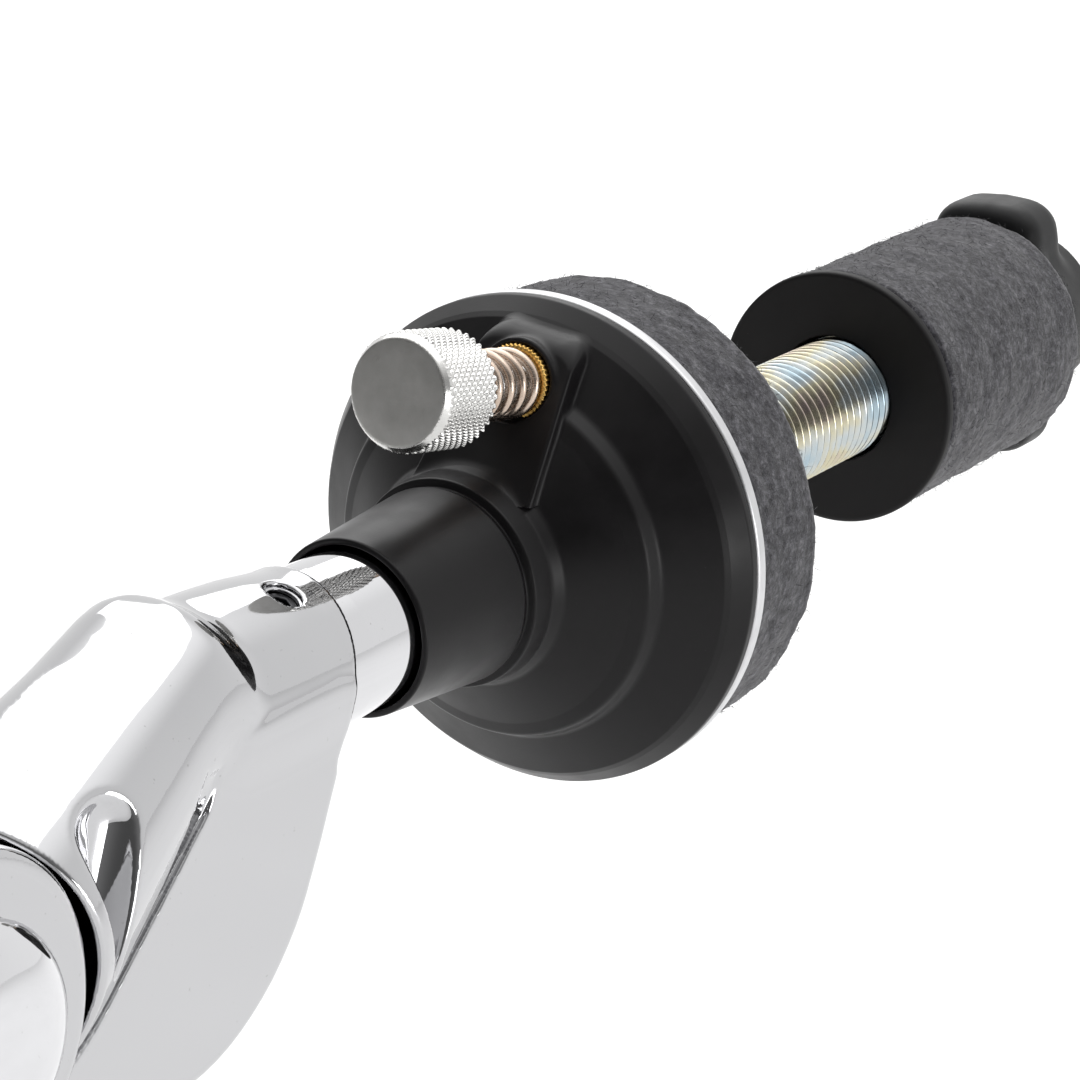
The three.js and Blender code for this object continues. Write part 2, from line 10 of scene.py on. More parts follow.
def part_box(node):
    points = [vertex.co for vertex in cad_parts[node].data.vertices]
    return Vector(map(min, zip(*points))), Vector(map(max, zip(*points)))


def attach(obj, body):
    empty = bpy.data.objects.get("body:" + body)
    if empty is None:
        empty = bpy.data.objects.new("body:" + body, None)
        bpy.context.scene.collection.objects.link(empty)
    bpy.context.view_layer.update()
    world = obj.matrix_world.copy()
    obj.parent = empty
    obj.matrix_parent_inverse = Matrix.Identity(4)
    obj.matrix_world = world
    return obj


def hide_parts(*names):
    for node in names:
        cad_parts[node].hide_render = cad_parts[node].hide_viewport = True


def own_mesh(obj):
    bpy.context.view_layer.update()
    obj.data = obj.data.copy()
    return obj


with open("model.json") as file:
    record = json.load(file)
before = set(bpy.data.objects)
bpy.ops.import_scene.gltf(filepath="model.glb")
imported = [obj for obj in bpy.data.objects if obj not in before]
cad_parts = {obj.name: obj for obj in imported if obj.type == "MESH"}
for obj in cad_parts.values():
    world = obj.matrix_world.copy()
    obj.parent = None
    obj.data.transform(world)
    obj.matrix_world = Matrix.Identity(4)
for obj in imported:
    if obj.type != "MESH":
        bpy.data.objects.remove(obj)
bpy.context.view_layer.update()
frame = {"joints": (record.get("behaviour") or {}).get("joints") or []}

MM = 0.001


def span(node):
    low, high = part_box(node)
    return np.array(low) / MM, np.array(high) / MM


def joint(name):
    return next(j for j in frame["joints"] if j["name"] == name)


def unit(vector):
    return np.array(vector, float) / np.linalg.norm(vector)


# ---- Places, from the frame ----------------------------------
ROD_LOW, ROD_HIGH = span("threaded_rod")
CUP_LOW = span("seat_cup")[0]
HEAD = np.array([(ROD_LOW[0] + ROD_HIGH[0]) / 2, CUP_LOW[1], (ROD_LOW[2] + ROD_HIGH[2]) / 2])
PIVOT = np.array(joint("head_tilt")["pos_m"]) / MM
PIVOT_IN_HEAD = PIVOT - HEAD
SCREW = np.array(joint("tilt_screw_spin")["pos_m"]) / MM
SCREW_IN = unit(joint("tilt_screw_spin")["axis"])
SCREW_IN_HEAD = SCREW - HEAD
BOSS_TURN = math.atan2(SCREW_IN_HEAD[0], SCREW_IN_HEAD[2])  # around the rod, from +Z to +X

ROD_RADIUS = (ROD_HIGH[2] - ROD_LOW[2]) / 2
ROD_PITCH = 1.25
FINE_PITCH = 0.7
RIM_RADIUS = 22.0


# ---- Fields: numbers that are negative inside a solid --------
def soft_join(a, b, blend):
    share = np.clip(0.5 + 0.5 * (b - a) / blend, 0, 1)
    return b + (a - b) * share - blend * share * (1 - share)


def soft_both(a, b, blend):
    return -soft_join(-a, -b, blend)


def soft_cut(a, b, blend):
    return soft_both(a, -b, blend)


def outline_field(u, v, corners):
    """Distance to a closed outline, negative inside it."""
    corners = np.asarray(corners, float)
    nearest = np.full(np.broadcast(u, v).shape, np.inf)
    inside = np.zeros(nearest.shape, bool)
    for (u0, v0), (u1, v1) in zip(corners, np.roll(corners, -1, axis=0)):
        du, dv = u1 - u0, v1 - v0
        along = np.clip(((u - u0) * du + (v - v0) * dv) / (du * du + dv * dv), 0, 1)
        nearest = np.minimum(nearest, (u - u0 - along * du) ** 2 + (v - v0 - along * dv) ** 2)
        if dv != 0:
            inside ^= ((v0 > v) != (v1 > v)) & (u < u0 + (v - v0) * du / dv)
    return np.where(inside, -1, 1) * np.sqrt(nearest)


def smooth_line(points, steps=8):
    """A smooth line through points: each stretch is a Catmull-Rom curve."""
    points = np.asarray(points, float)
    ends = np.vstack([2 * points[0] - points[1], points, 2 * points[-1] - points[-2]])
    t = np.linspace(0, 1, steps, endpoint=False)[:, None]
    parts = []
    for a, b, c, d in zip(ends, ends[1:], ends[2:], ends[3:]):
        parts.append(0.5 * (
            2 * b + (c - a) * t + (2 * a - 5 * b + 4 * c - d) * t**2 + (3 * (b - c) + d - a) * t**3
        ))
    return np.vstack([*parts, points[-1:]])


def turned_field(profile, step=0.1, room=9):
    """A turned body's field from a smooth profile of [radius, along] points: distances are tabled once."""
    line = smooth_line(profile, 24)
    section = np.vstack([line, line[:0:-1] * [-1, 1]])
    start = line[:, 1].min() - room
    outs = np.arange(0, line[:, 0].max() + room, step)
    alongs = np.arange(start, line[:, 1].max() + room, step)
    table = outline_field(outs[:, None], alongs[None, :], section)

    def field(out, along):
        i = np.clip(out / step, 0, len(outs) - 1.001)
        j = np.clip((along - start) / step, 0, len(alongs) - 1.001)
        row, column = i.astype(int), j.astype(int)
        i, j = i - row, j - column
        near = table[row, column] * (1 - j) + table[row, column + 1] * j
        far = table[row + 1, column] * (1 - j) + table[row + 1, column + 1] * j
        return near * (1 - i) + far * i

    return field


def bar_field(out, along, radius, low, high, edge=0.0):
    ends = np.maximum(low - along, along - high)
    return soft_both(out - radius, ends, edge) if edge else np.maximum(out - radius, ends)


def net(field, low, high, step):
    """Points and quads round a field's zero level inside a box. Each point is pulled onto the level."""
    low = np.array(low, float)
    counts = np.ceil((np.array(high) - low) / step).astype(int) + 1
    axes = [low[a] + step * np.arange(counts[a]) for a in range(3)]
    table = np.broadcast_to(field(*np.meshgrid(*axes, indexing="ij", sparse=True)), counts).copy()
    for side in (0, -1):
        table[side] = np.maximum(table[side], step)
        table[:, side] = np.maximum(table[:, side], step)
        table[:, :, side] = np.maximum(table[:, :, side], step)
    keys, spots, quads = [], [], []
    for axis in range(3):
        near = table[tuple(slice(None, -1) if k == axis else slice(None) for k in range(3))]
        far = table[tuple(slice(1, None) if k == axis else slice(None) for k in range(3))]
        crossing = (near < 0) != (far < 0)
        place = np.argwhere(crossing)
        spot = place.astype(float)
        spot[:, axis] += near[crossing] / (near[crossing] - far[crossing])
        corner = []
        for back_b, back_c in ((0, 0), (1, 0), (1, 1), (0, 1)):
            cell = place.copy()
            cell[:, (axis + 1) % 3] -= back_b
            cell[:, (axis + 2) % 3] -= back_c
            corner.append(np.ravel_multi_index(cell.T, counts))
            keys.append(corner[-1])
            spots.append(spot)
        quad = np.stack(corner, axis=1)
        inward = near[crossing] >= 0
        quad[inward] = quad[inward, ::-1]
        quads.append(quad)
    cells, number = np.unique(np.concatenate(keys), return_inverse=True)
    share = np.bincount(number)
    spots = np.vstack(spots)
    points = np.stack([np.bincount(number, spots[:, k]) / share for k in range(3)], axis=1) * step + low
    faces = np.searchsorted(cells, np.vstack(quads))
    return pulled(points, field, step), faces


def pulled(points, field, step):
    """Points moved onto a field's zero level in a few short steps along its slope."""
    for _ in range(4):
        value = np.ravel(field(*points.T))
        slope = np.empty_like(points)
        for k in range(3):
            shift = np.zeros(3)
            shift[k] = step * 0.03
            ahead, behind = np.ravel(field(*(points + shift).T)), np.ravel(field(*(points - shift).T))
            slope[:, k] = (ahead - behind) / (step * 0.06)
        move = slope * (value / np.maximum((slope**2).sum(axis=1), 0.05))[:, None]
        length = np.linalg.norm(move, axis=1, keepdims=True)
        points = points - move * np.minimum(1, 0.4 * step / np.maximum(length, 1e-9))
    return points


# ---- Turned shapes -------------------------------------------
def rounded(corners, closed=False, steps=4, hold=0.12):
    """A profile of [radius, along, rounding] corners, rounded off, with a point held beside each arc."""
    corners = [tuple(c) if len(c) == 3 else (*c, 0) for c in corners]
    count = len(corners)
    line = []
    for i, (r, y, rounding) in enumerate(corners):
        here = np.array([r, y], float)
        if rounding == 0 or (not closed and i in (0, count - 1)):
            line.append(here)
            continue
        before = np.array(corners[i - 1][:2]) - here
        after = np.array(corners[(i + 1) % count][:2]) - here
        room = 0.45 * min(np.linalg.norm(before), np.linalg.norm(after))
        before, after = unit(before), unit(after)
        half = math.acos(np.clip(before @ after, -1, 1)) / 2
        reach = min(rounding / math.tan(half), room)
        start, end = here + before * reach, here + after * reach
        beside = min(hold, room - reach + 0.001)
        line.append(start + before * beside)
        for t in np.linspace(0, 1, steps + 1):
            line.append((1 - t) ** 2 * start + 2 * t * (1 - t) * here + t**2 * end)
        line.append(end + after * beside)
    return np.array(line)


def turned(profile, sides=160, closed=False):
    """A body turned about Y. A profile that isn't closed starts and ends on the axis."""
    profile = np.asarray(profile, float)
    angle = np.arange(sides) * 2 * math.pi / sides
    body = profile if closed else profile[1:-1]
    rows = len(body)
    points = np.stack([
        np.outer(body[:, 0], np.sin(angle)),
        np.repeat(body[:, 1:2], sides, axis=1),
        np.outer(body[:, 0], np.cos(angle)),
    ], axis=-1).reshape(-1, 3)
    faces = grid_faces(rows, sides, closed)
    if closed:
        return points, faces
    return capped(points, faces, rows, sides, profile[0, 1], profile[-1, 1])


def grid_faces(rows, sides, closed=False):
    row = np.arange(rows if closed else rows - 1)[:, None]
    side = np.arange(sides)[None, :]
    here, there = row * sides, (row + 1) % rows * sides
    after = (side + 1) % sides
    return np.stack([here + side, here + after, there + after, there + side], axis=-1).reshape(-1, 4).tolist()


def capped(points, faces, rows, sides, start, end):
    points = np.vstack([points, [[0, start, 0]], [[0, end, 0]]])
    first, last = rows * sides, rows * sides + 1
    for i in range(sides):
        after = (i + 1) % sides
        faces.append([after, i, first])
        faces.append([(rows - 1) * sides + i, (rows - 1) * sides + after, last])
    return points, faces


def patterned(radii, alongs, sides):
    """A turned body whose radius is a table of rows by sides."""
    angle = np.arange(sides) * 2 * math.pi / sides
    rows = len(alongs)
    points = np.stack([
        radii * np.sin(angle),
        np.repeat(np.asarray(alongs)[:, None], sides, axis=1),
        radii * np.cos(angle),
    ], axis=-1).reshape(-1, 3)
    return capped(points, grid_faces(rows, sides), rows, sides, alongs[0], alongs[-1])


def along_x(points):
    return np.stack([points[:, 1], -points[:, 0], points[:, 2]], axis=1)


def along_z(points):
    return np.stack([points[:, 0], -points[:, 2], points[:, 1]], axis=1)


def about(points, turn, move=(0, 0, 0)):
    """Points turned by a 3 x 3 matrix, then moved."""
    return points @ np.array(turn).T + np.array(move)


def turn_from_y(direction):
    return np.array(Vector((0, 1, 0)).rotation_difference(Vector(direction)).to_matrix())


def joined(*shapes):
    points, faces, start = [], [], 0
    for these, those in shapes:
        points.append(these)
        faces.extend([[i + start for i in face] for face in those])
        start += len(these)
    return np.vstack(points), faces


def tube_along(path, radius, sides=16, lean=(0, 1, 0)):
    """A round tube along a path, closed by a point at each end."""
    path = np.asarray(path, float)
    ahead = np.gradient(path, axis=0)
    ahead /= np.linalg.norm(ahead, axis=1, keepdims=True)
    side = np.cross(ahead, np.array(lean, float))
    side /= np.linalg.norm(side, axis=1, keepdims=True)
    up = np.cross(side, ahead)
    angle = np.arange(sides) * 2 * math.pi / sides
    ring = np.cos(angle)[None, :, None] * side[:, None] + np.sin(angle)[None, :, None] * up[:, None]
    points = (path[:, None] + radius * ring).reshape(-1, 3)
    rows = len(path)
    faces = grid_faces(rows, sides)
    points = np.vstack([points, path[:1] - ahead[:1] * radius * 0.5, path[-1:] + ahead[-1:] * radius * 0.5])
    for i in range(sides):
        after = (i + 1) % sides
        faces.append([after, i, rows * sides])
        faces.append([(rows - 1) * sides + i, (rows - 1) * sides + after, rows * sides + 1])
    return points, faces


# ---- Materials -----------------------------------------------
class Finish:
    """A procedural material. Textures lie in the piece's own space, with sizes given per millimetre."""

    def __init__(self, name, **values):
        self.material = bpy.data.materials.new(name)
        self.material.use_nodes = True
        self.nodes = self.material.node_tree.nodes
        self.links = self.material.node_tree.links
        self.shader = self.nodes["Principled BSDF"]
        for socket, value in values.items():
            self.shader.inputs[socket.replace("_", " ")].default_value = value
        self.place = self.nodes.new("ShaderNodeTexCoord").outputs["Object"]

    def noise(self, per_mm, detail=4.0, roughness=0.55, stretch=(1, 1, 1)):
        mapping = self.nodes.new("ShaderNodeMapping")
        mapping.inputs["Scale"].default_value = [per_mm / MM * s for s in stretch]
        self.links.new(self.place, mapping.inputs["Vector"])
        texture = self.nodes.new("ShaderNodeTexNoise")
        texture.inputs["Scale"].default_value = 1
        texture.inputs["Detail"].default_value = detail
        texture.inputs["Roughness"].default_value = roughness
        self.links.new(mapping.outputs["Vector"], texture.inputs["Vector"])
        return texture.outputs["Fac"]

    def ramp(self, value, *stops):
        ramp = self.nodes.new("ShaderNodeValToRGB")
        elements = ramp.color_ramp.elements
        while len(elements) < len(stops):
            elements.new(0.5)
        for element, (position, colour) in zip(elements, stops):
            element.position = position
            element.color = (*colour, 1) if isinstance(colour, tuple) else (colour, colour, colour, 1)
        self.links.new(value, ramp.inputs["Fac"])
        return ramp.outputs["Color"]

    def mix(self, share, a, b, kind="MIX"):
        mix = self.nodes.new("ShaderNodeMix")
        mix.data_type = "RGBA"
        mix.blend_type = kind
        for socket, value in ((mix.inputs[0], share), (mix.inputs[6], a), (mix.inputs[7], b)):
            if isinstance(value, bpy.types.NodeSocket):
                self.links.new(value, socket)
            elif isinstance(value, tuple):
                socket.default_value = (*value, 1)
            else:
                socket.default_value = value
        return mix.outputs[2]

    def into(self, socket, value):
        self.links.new(value, self.shader.inputs[socket])
        return self

    def bump(self, *layers):
        """Bump layers of (value, height in millimetres)."""
        last = None
        for value, height in layers:
            bump = self.nodes.new("ShaderNodeBump")
            bump.inputs["Strength"].default_value = 1
            bump.inputs["Distance"].default_value = height * MM
            self.links.new(value, bump.inputs["Height"])
            if last is not None:
                self.links.new(last, bump.inputs["Normal"])
            last = bump.outputs["Normal"]
        self.links.new(last, self.shader.inputs["Normal"])
        return self


def chrome(name, waviness=0.012, tint=0.68):
    """Polished plating: faint waviness, hairline polishing marks and a few specks."""
    finish = Finish(name, Metallic=1.0, IOR=2.5)
    broad = finish.noise(0.12, 2)
    specks = finish.noise(1.6, 2, 0.7)
    hair = finish.noise(2.2, 5, 0.7, (0.25, 1.0, 3.0))
    metal = (tint, tint, tint * 1.02)
    finish.into("Base Color", finish.ramp(specks, (0.24, tint * 0.8), (0.29, metal), (1.0, metal)))
    finish.into("Roughness", finish.ramp(hair, (0.35, 0.03), (0.75, 0.08)))
    return finish.bump((broad, waviness)).material


def satin_black(name, colour, roughness, grain=0.004):
    """Moulded plastic: fine grain, slight cloudiness in the gloss, and dusty specks."""
    finish = Finish(name, IOR=1.46)
    finish.shader.inputs["Specular IOR Level"].default_value = 0.25
    cloud = finish.noise(0.25, 4)
    fine = finish.noise(5.0, 3)
    dust = finish.noise(2.8, 2, 0.8)
    base = finish.ramp(cloud, (0.3, tuple(c * 0.85 for c in colour)), (0.7, tuple(c * 1.15 for c in colour)))
    dusty = finish.ramp(dust, (0.73, 0.0), (0.80, 0.35))
    finish.into("Base Color", finish.mix(dusty, base, tuple(min(1, c * 3 + 0.03) for c in colour)))
    finish.into("Roughness", finish.ramp(cloud, (0.3, roughness - 0.05), (0.7, roughness + 0.07)))
    return finish.bump((fine, grain), (dust, 0.002)).material


def bare_metal(name, light, dark, roughness, scratch=(0.2, 1, 4), marks=0.002):
    """Plain or plated metal: mottled colour, directional fine scratches."""
    finish = Finish(name, Metallic=1.0, IOR=2.2)
    cloud = finish.noise(0.5, 5)
    hair = finish.noise(3.5, 5, 0.7, scratch)
    finish.into("Base Color", finish.ramp(cloud, (0.3, dark), (0.65, light)))
    finish.into("Roughness", finish.ramp(hair, (0.3, roughness - 0.06), (0.7, roughness + 0.08)))
    return finish.bump((hair, marks)).material


def zinc_plate():
    """Yellow-blue passivated zinc: pale straw and blue tints drift over bright metal."""
    finish = Finish("zinc_plate", Metallic=1.0, IOR=2.2)
    drift = finish.noise(0.22, 3, 0.5, (1, 0.5, 1))
    hair = finish.noise(3.0, 4, 0.6)
    blue, pale, straw, rose = (0.40, 0.50, 0.56), (0.55, 0.58, 0.57), (0.60, 0.56, 0.40), (0.52, 0.43, 0.40)
    tint = finish.ramp(drift, (0.34, blue), (0.46, pale), (0.56, straw), (0.68, rose))
    finish.into("Base Color", tint)
    finish.into("Roughness", finish.ramp(hair, (0.3, 0.14), (0.7, 0.26)))
    return finish.bump((hair, 0.003)).material


def felt(name, light, middle, dark):
    """Heathered wool felt: light and dark fibres, mottled in clumps."""
    finish = Finish(name, Roughness=0.95, IOR=1.4)
    finish.shader.inputs["Sheen Weight"].default_value = 0.35
    finish.shader.inputs["Sheen Roughness"].default_value = 0.5
    finish.shader.inputs["Specular IOR Level"].default_value = 0.1
    clumps = finish.noise(1.3, 5, 0.66)
    wisps = finish.noise(3.4, 4, 0.7, (1.6, 0.7, 1.2))
    tone = finish.ramp(clumps, (0.36, dark), (0.52, middle), (0.68, light))
    strands = finish.ramp(wisps, (0.35, 0.55), (0.65, 1.5))
    finish.into("Base Color", finish.mix(1.0, tone, strands, "MULTIPLY"))
    return finish.bump((clumps, 0.08), (wisps, 0.06)).material


FINISHES = {
    "chrome_tube": chrome("chrome_tube", 0.004, 0.64),
    "chrome_casting": chrome("chrome_casting", 0.016, 0.53),
    "chrome_bolt": chrome("chrome_bolt", 0.006, 0.68),
    "chrome_wing": chrome("chrome_wing", 0.02, 0.68),
    "cap_plastic": satin_black("cap_plastic", (0.014, 0.014, 0.015), 0.42),
    "cup_plastic": satin_black("cup_plastic", (0.0068, 0.0062, 0.0068), 0.34),
    "nut_plastic": satin_black("nut_plastic", (0.009, 0.009, 0.0095), 0.42, 0.008),
    "washer_plastic": satin_black("washer_plastic", (0.0058, 0.0052, 0.0056), 0.5, 0.006),
    "friction_nylon": satin_black("friction_nylon", (0.16, 0.16, 0.155), 0.55),
    "black_steel": bare_metal("black_steel", (0.07, 0.07, 0.075), (0.04, 0.04, 0.042), 0.32),
    "plated_steel": bare_metal("plated_steel", (0.72, 0.72, 0.71), (0.56, 0.56, 0.57), 0.24),
    "plate_steel": bare_metal("plate_steel", (0.66, 0.66, 0.67), (0.58, 0.58, 0.59), 0.34, (1, 4, 1)),
    "knob_steel": bare_metal("knob_steel", (0.66, 0.655, 0.64), (0.58, 0.575, 0.56), 0.2),
    "spring_wire": bare_metal("spring_wire", (0.66, 0.54, 0.45), (0.46, 0.36, 0.29), 0.24),
    "brass": bare_metal("brass", (0.78, 0.50, 0.16), (0.52, 0.30, 0.07), 0.3),
    "zinc_thread": zinc_plate(),
    "grey_felt": felt("grey_felt", (0.098, 0.096, 0.106), (0.040, 0.039, 0.045), (0.014, 0.013, 0.016)),
}


def make(name, shape, body, slot, node=None, move=(0, 0, 0), extra=None, chooser=None):
    """One finished piece: a mesh in the row frame that rides on a body and stands for its CAD node."""
    points, faces = shape
    mesh = bpy.data.meshes.new(name)
    mesh.from_pydata(((points + np.array(move)) * MM).tolist(), [], [list(map(int, f)) for f in faces])
    work = bmesh.new()
    work.from_mesh(mesh)
    bmesh.ops.recalc_face_normals(work, faces=work.faces)
    work.to_mesh(mesh)
    work.free()
    mesh.shade_smooth()
    mesh.materials.append(FINISHES[slot])
    if extra is not None:
        mesh.materials.append(extra)
        mesh.polygons.foreach_set("material_index", chooser(mesh))
    thing = bpy.data.objects.new(name, mesh)
    bpy.context.scene.collection.objects.link(thing)
    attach(thing, body)
    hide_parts(node or name)
    return thing


# ---- Upper casting, in the head frame ------------------------
CASTING_STEP = 0.27
NET_ROOM = 0.8
HOUSING_TIP = np.array([0, -23.3, 3.7])
HOUSING_WAY = unit([0, -0.876, -0.482])
HOUSING = [
    [0, -2.7], [3.5, -2.5], [6.0, -1.7], [7.3, -0.3], [7.8, 1.6], [8.05, 4.5], [8.35, 8], [8.9, 12], [9.35, 15],
    [10.1, 20], [11.1, 27], [11.2, 34],
]
SOCKET = [[0, -31], [5.5, -30.6], [7.6, -28], [8.6, -24], [8.7, -21], [8.3, -15], [7.7, -10], [7.5, -6.6]]
HOUSING_FIELD = turned_field(HOUSING)
SOCKET_FIELD = turned_field(SOCKET)
CREASE_DEPTH = 0.55
WEB_HALF = 7.5
WEB_FRONT = [
    [-6.6, 0], [-9.2, -0.5], [-9.9, -2.8], [-10.9, -5.4], [-12.7, -9.2], [-14.7, -13.3], [-17.5, -18],
    [-22, -22.4], [-28, -25.4], [-35, -26], [-42, -23.2], [-47.6, -18.9],
]
WEB_BACK = [[-47, -8], [-30, 0], [-12, 0]]
WEB_CUT = [[-47.9, -18.7], [-36, -28.4], [-60, -45], [-80, -20]]
BACK_CUT = [[-80, -20], [-80, 20], [-53, 20]]
BRIDGE = [[-52.5, 1.2], [-40, 0], [-40, -15], [-49, -17.4]]
MOUTH = [[-10.2, -4], [-6.9, 10], [0, 10], [0, -20], [-12.2, -20], [-11.5, -6]]
DRUM_RADIUS = 13.3
CLEARANCE = 14.2
TONGUE_HALF = 3.6
COLLAR_BORE = 7.15
ROD_BORE = 5.2
BOLT_BORE = 4.2
SET_TURN = math.radians(23)
SET_Y = -12.7
SET_RADIUS = 1.6


def casting_shell(x, y, z):
    """Housing, web and socket run together, with a groove along the crease between housing and web."""
    dy, dz = y - HOUSING_TIP[1], z - HOUSING_TIP[2]
    along = dy * HOUSING_WAY[1] + dz * HOUSING_WAY[2]
    across = dy * HOUSING_WAY[2] - dz * HOUSING_WAY[1]
    housing = HOUSING_FIELD(np.hypot(x, across), along)
    narrow = 1 + 0.14 * np.clip((-10 - y) / 12, 0, 1)
    socket = SOCKET_FIELD(*np.broadcast_arrays(np.hypot(x * narrow, z), y))
    web_outline = np.vstack([smooth_line(WEB_FRONT[1:], 4), WEB_BACK])
    web = soft_both(outline_field(y, z, web_outline), np.abs(x) - WEB_HALF, 0.9)
    body = soft_join(soft_join(housing, web, 0.3), socket, 1.4)
    groove = np.clip((socket - 0.6) * 0.4, 0, CREASE_DEPTH)
    slope = np.clip(np.abs(across) / np.hypot(x, across + 1e-6), 0.7, 1)
    return soft_cut(body, np.hypot(housing / slope, web) - groove, 0.25)


def upper_casting(x, y, z):
    """The shell, cut clear of the lower casting, with its tongue, mouth, bores, set hole and scoop."""
    py, pz = PIVOT_IN_HEAD[1:]
    radius, drum = np.hypot(x, z), np.hypot(y - py, z - pz)
    body = soft_cut(casting_shell(x, y, z), drum - CLEARANCE, 0.7)
    body = soft_cut(body, outline_field(y, z, [*WEB_CUT, [py, pz]]), 0.7)
    body = soft_cut(body, outline_field(y, z, [[py, pz], *BACK_CUT]), 0.7)
    bridge = outline_field(y, z, [[py, pz + 2], *BRIDGE])
    tongue = soft_both(soft_join(drum - DRUM_RADIUS + 0.3, bridge, 1.0), np.abs(x) - TONGUE_HALF, 0.5)
    body = soft_join(body, tongue, 0.8)
    mouth = np.maximum(np.maximum(outline_field(y, z, MOUTH), radius - 9.4), -14 - y)
    body = soft_cut(body, mouth, 0.9)
    body = soft_cut(body, bar_field(radius, y, COLLAR_BORE, -10.5, 5), 0.3)
    body = np.maximum(body, -bar_field(radius, y, ROD_BORE, -30.3, 5))
    body = soft_cut(body, drum - BOLT_BORE, 0.3)
    outward = x * math.sin(SET_TURN) + z * math.cos(SET_TURN)
    sideways = x * math.cos(SET_TURN) - z * math.sin(SET_TURN)
    hole = np.hypot(sideways, y - SET_Y)
    body = soft_cut(body, np.maximum(hole - SET_RADIUS, 4 - outward), 0.2)
    return soft_cut(body, scoop(x, y, z), 0.6)


SCOOP_AT = np.array([6.9, -41.4, -1])
SCOOP_TURN = math.radians(-8)
SCOOP_RADIUS = 3.1


def scoop(x, y, z):
    """Teardrop hollow in the housing's flank: a round top, a pointed foot and a softly dished floor."""
    dy, dz = y - SCOOP_AT[1], z - SCOOP_AT[2]
    u = dy * math.cos(SCOOP_TURN) + dz * math.sin(SCOOP_TURN)
    v = dz * math.cos(SCOOP_TURN) - dy * math.sin(SCOOP_TURN)
    angle = np.radians(np.linspace(-20, 200, 24))
    drop = [*zip(SCOOP_RADIUS * np.cos(angle), SCOOP_RADIUS * np.sin(angle)), (0.6, -11)]
    return soft_both(outline_field(u, v, drop), SCOOP_AT[0] - x, 3.4)


def thread_rows(radius, depth, pitch, low, high, sides, per_pitch=12):
    """Rows of a helical thread with flat crests and roots, run out over one pitch at each end."""
    rows = np.linspace(low, high, int((high - low) / pitch * per_pitch) + 1)
    angle = np.arange(sides) / sides
    phase = (rows[:, None] / pitch - angle[None, :]) % 1
    height = np.clip(np.abs(2 * phase - 1) * 1.36 - 0.18, 0, 1)
    fade = np.clip(np.minimum(rows - low, high - rows) / pitch, 0, 1)[:, None]
    return rows, radius - depth * (1 - height * fade)


def make_upper_casting():
    low, high = span("tilter_body")
    points, faces = net(upper_casting, low - HEAD - NET_ROOM, high - HEAD + NET_ROOM, CASTING_STEP)
    shape = joined((points, faces.tolist()), set_hole_thread())
    make("tilter_body_cast", shape, "head", "chrome_casting", "tilter_body", HEAD)


def set_hole_thread():
    """A thin threaded liner in the set-screw hole."""
    sides = 48
    rows, radii = thread_rows(SET_RADIUS - 0.02, 0.2, FINE_PITCH, 5.2, 7.3, sides, 10)
    angle = np.arange(sides) * 2 * math.pi / sides
    deep = np.repeat(rows[:, None], sides, axis=1)
    inner = np.stack([radii * np.sin(angle), deep, radii * np.cos(angle)], axis=-1)
    outer = inner[[-1, 0]].copy()
    outer[:, :, 0] = (SET_RADIUS + 0.25) * np.sin(angle)
    outer[:, :, 2] = (SET_RADIUS + 0.25) * np.cos(angle)
    points = np.vstack([inner.reshape(-1, 3), outer.reshape(-1, 3)])
    return set_screw_place(points), grid_faces(len(rows) + 2, sides, True)


def set_screw_place(points):
    turn = turn_from_y((math.sin(SET_TURN), 0, math.cos(SET_TURN)))
    return about(points, turn, (0, SET_Y, 0))


def prism(across_flats, start):
    """Corners of a regular hexagon."""
    corner = across_flats / math.sqrt(3)
    turns = [math.radians(start + 60 * i) for i in range(6)]
    return [(corner * math.cos(turn), corner * math.sin(turn)) for turn in turns]


def make_set_screw():
    def grub(x, y, z):
        out = np.hypot(x, z)
        key = np.maximum(outline_field(x, z, prism(1.4, 0)), 6.1 - y)
        return soft_cut(bar_field(out, y, 1.38, 5.3, 7.0, 0.2), key, 0.1)

    points, faces = net(grub, (-1.7, 5, -1.7), (1.7, 7.3, 1.7), 0.09)
    make("rod_set_screw_grub", (set_screw_place(points), faces), "head", "black_steel", "rod_set_screw", HEAD)


# ---- Lower casting and arm -----------------------------------
BASE_LOW, BASE_HIGH = span("tilter_base")
ARM_LOW, ARM_HIGH = span("arm_tube")
ARM_RADIUS = (ARM_HIGH[0] - ARM_LOW[0]) / 2
ARM_WALL = 1.5
CAP_SECTION = [[0, 0], [8.6, 0, 0.5], [9.4, 0.8, 0.4], [9.4, 3, 0.3], [7.6, 3, 0.1], [7.3, 15, 0.4], [0, 15]]
CHEEK_OUTER = 10.4
CHEEK_INNER = 4.9
SOCKET_RADIUS = 13.0
SHOULDERS = [[7.8, -10.8], [11.5, -20], [11.5, -25], [-11.5, -25], [-11.5, -20], [-7.8, -10.8]]
CLAMP_SCREW_Z = (span("base_clamp_screw")[0][2] + span("base_clamp_screw")[1][2]) / 2


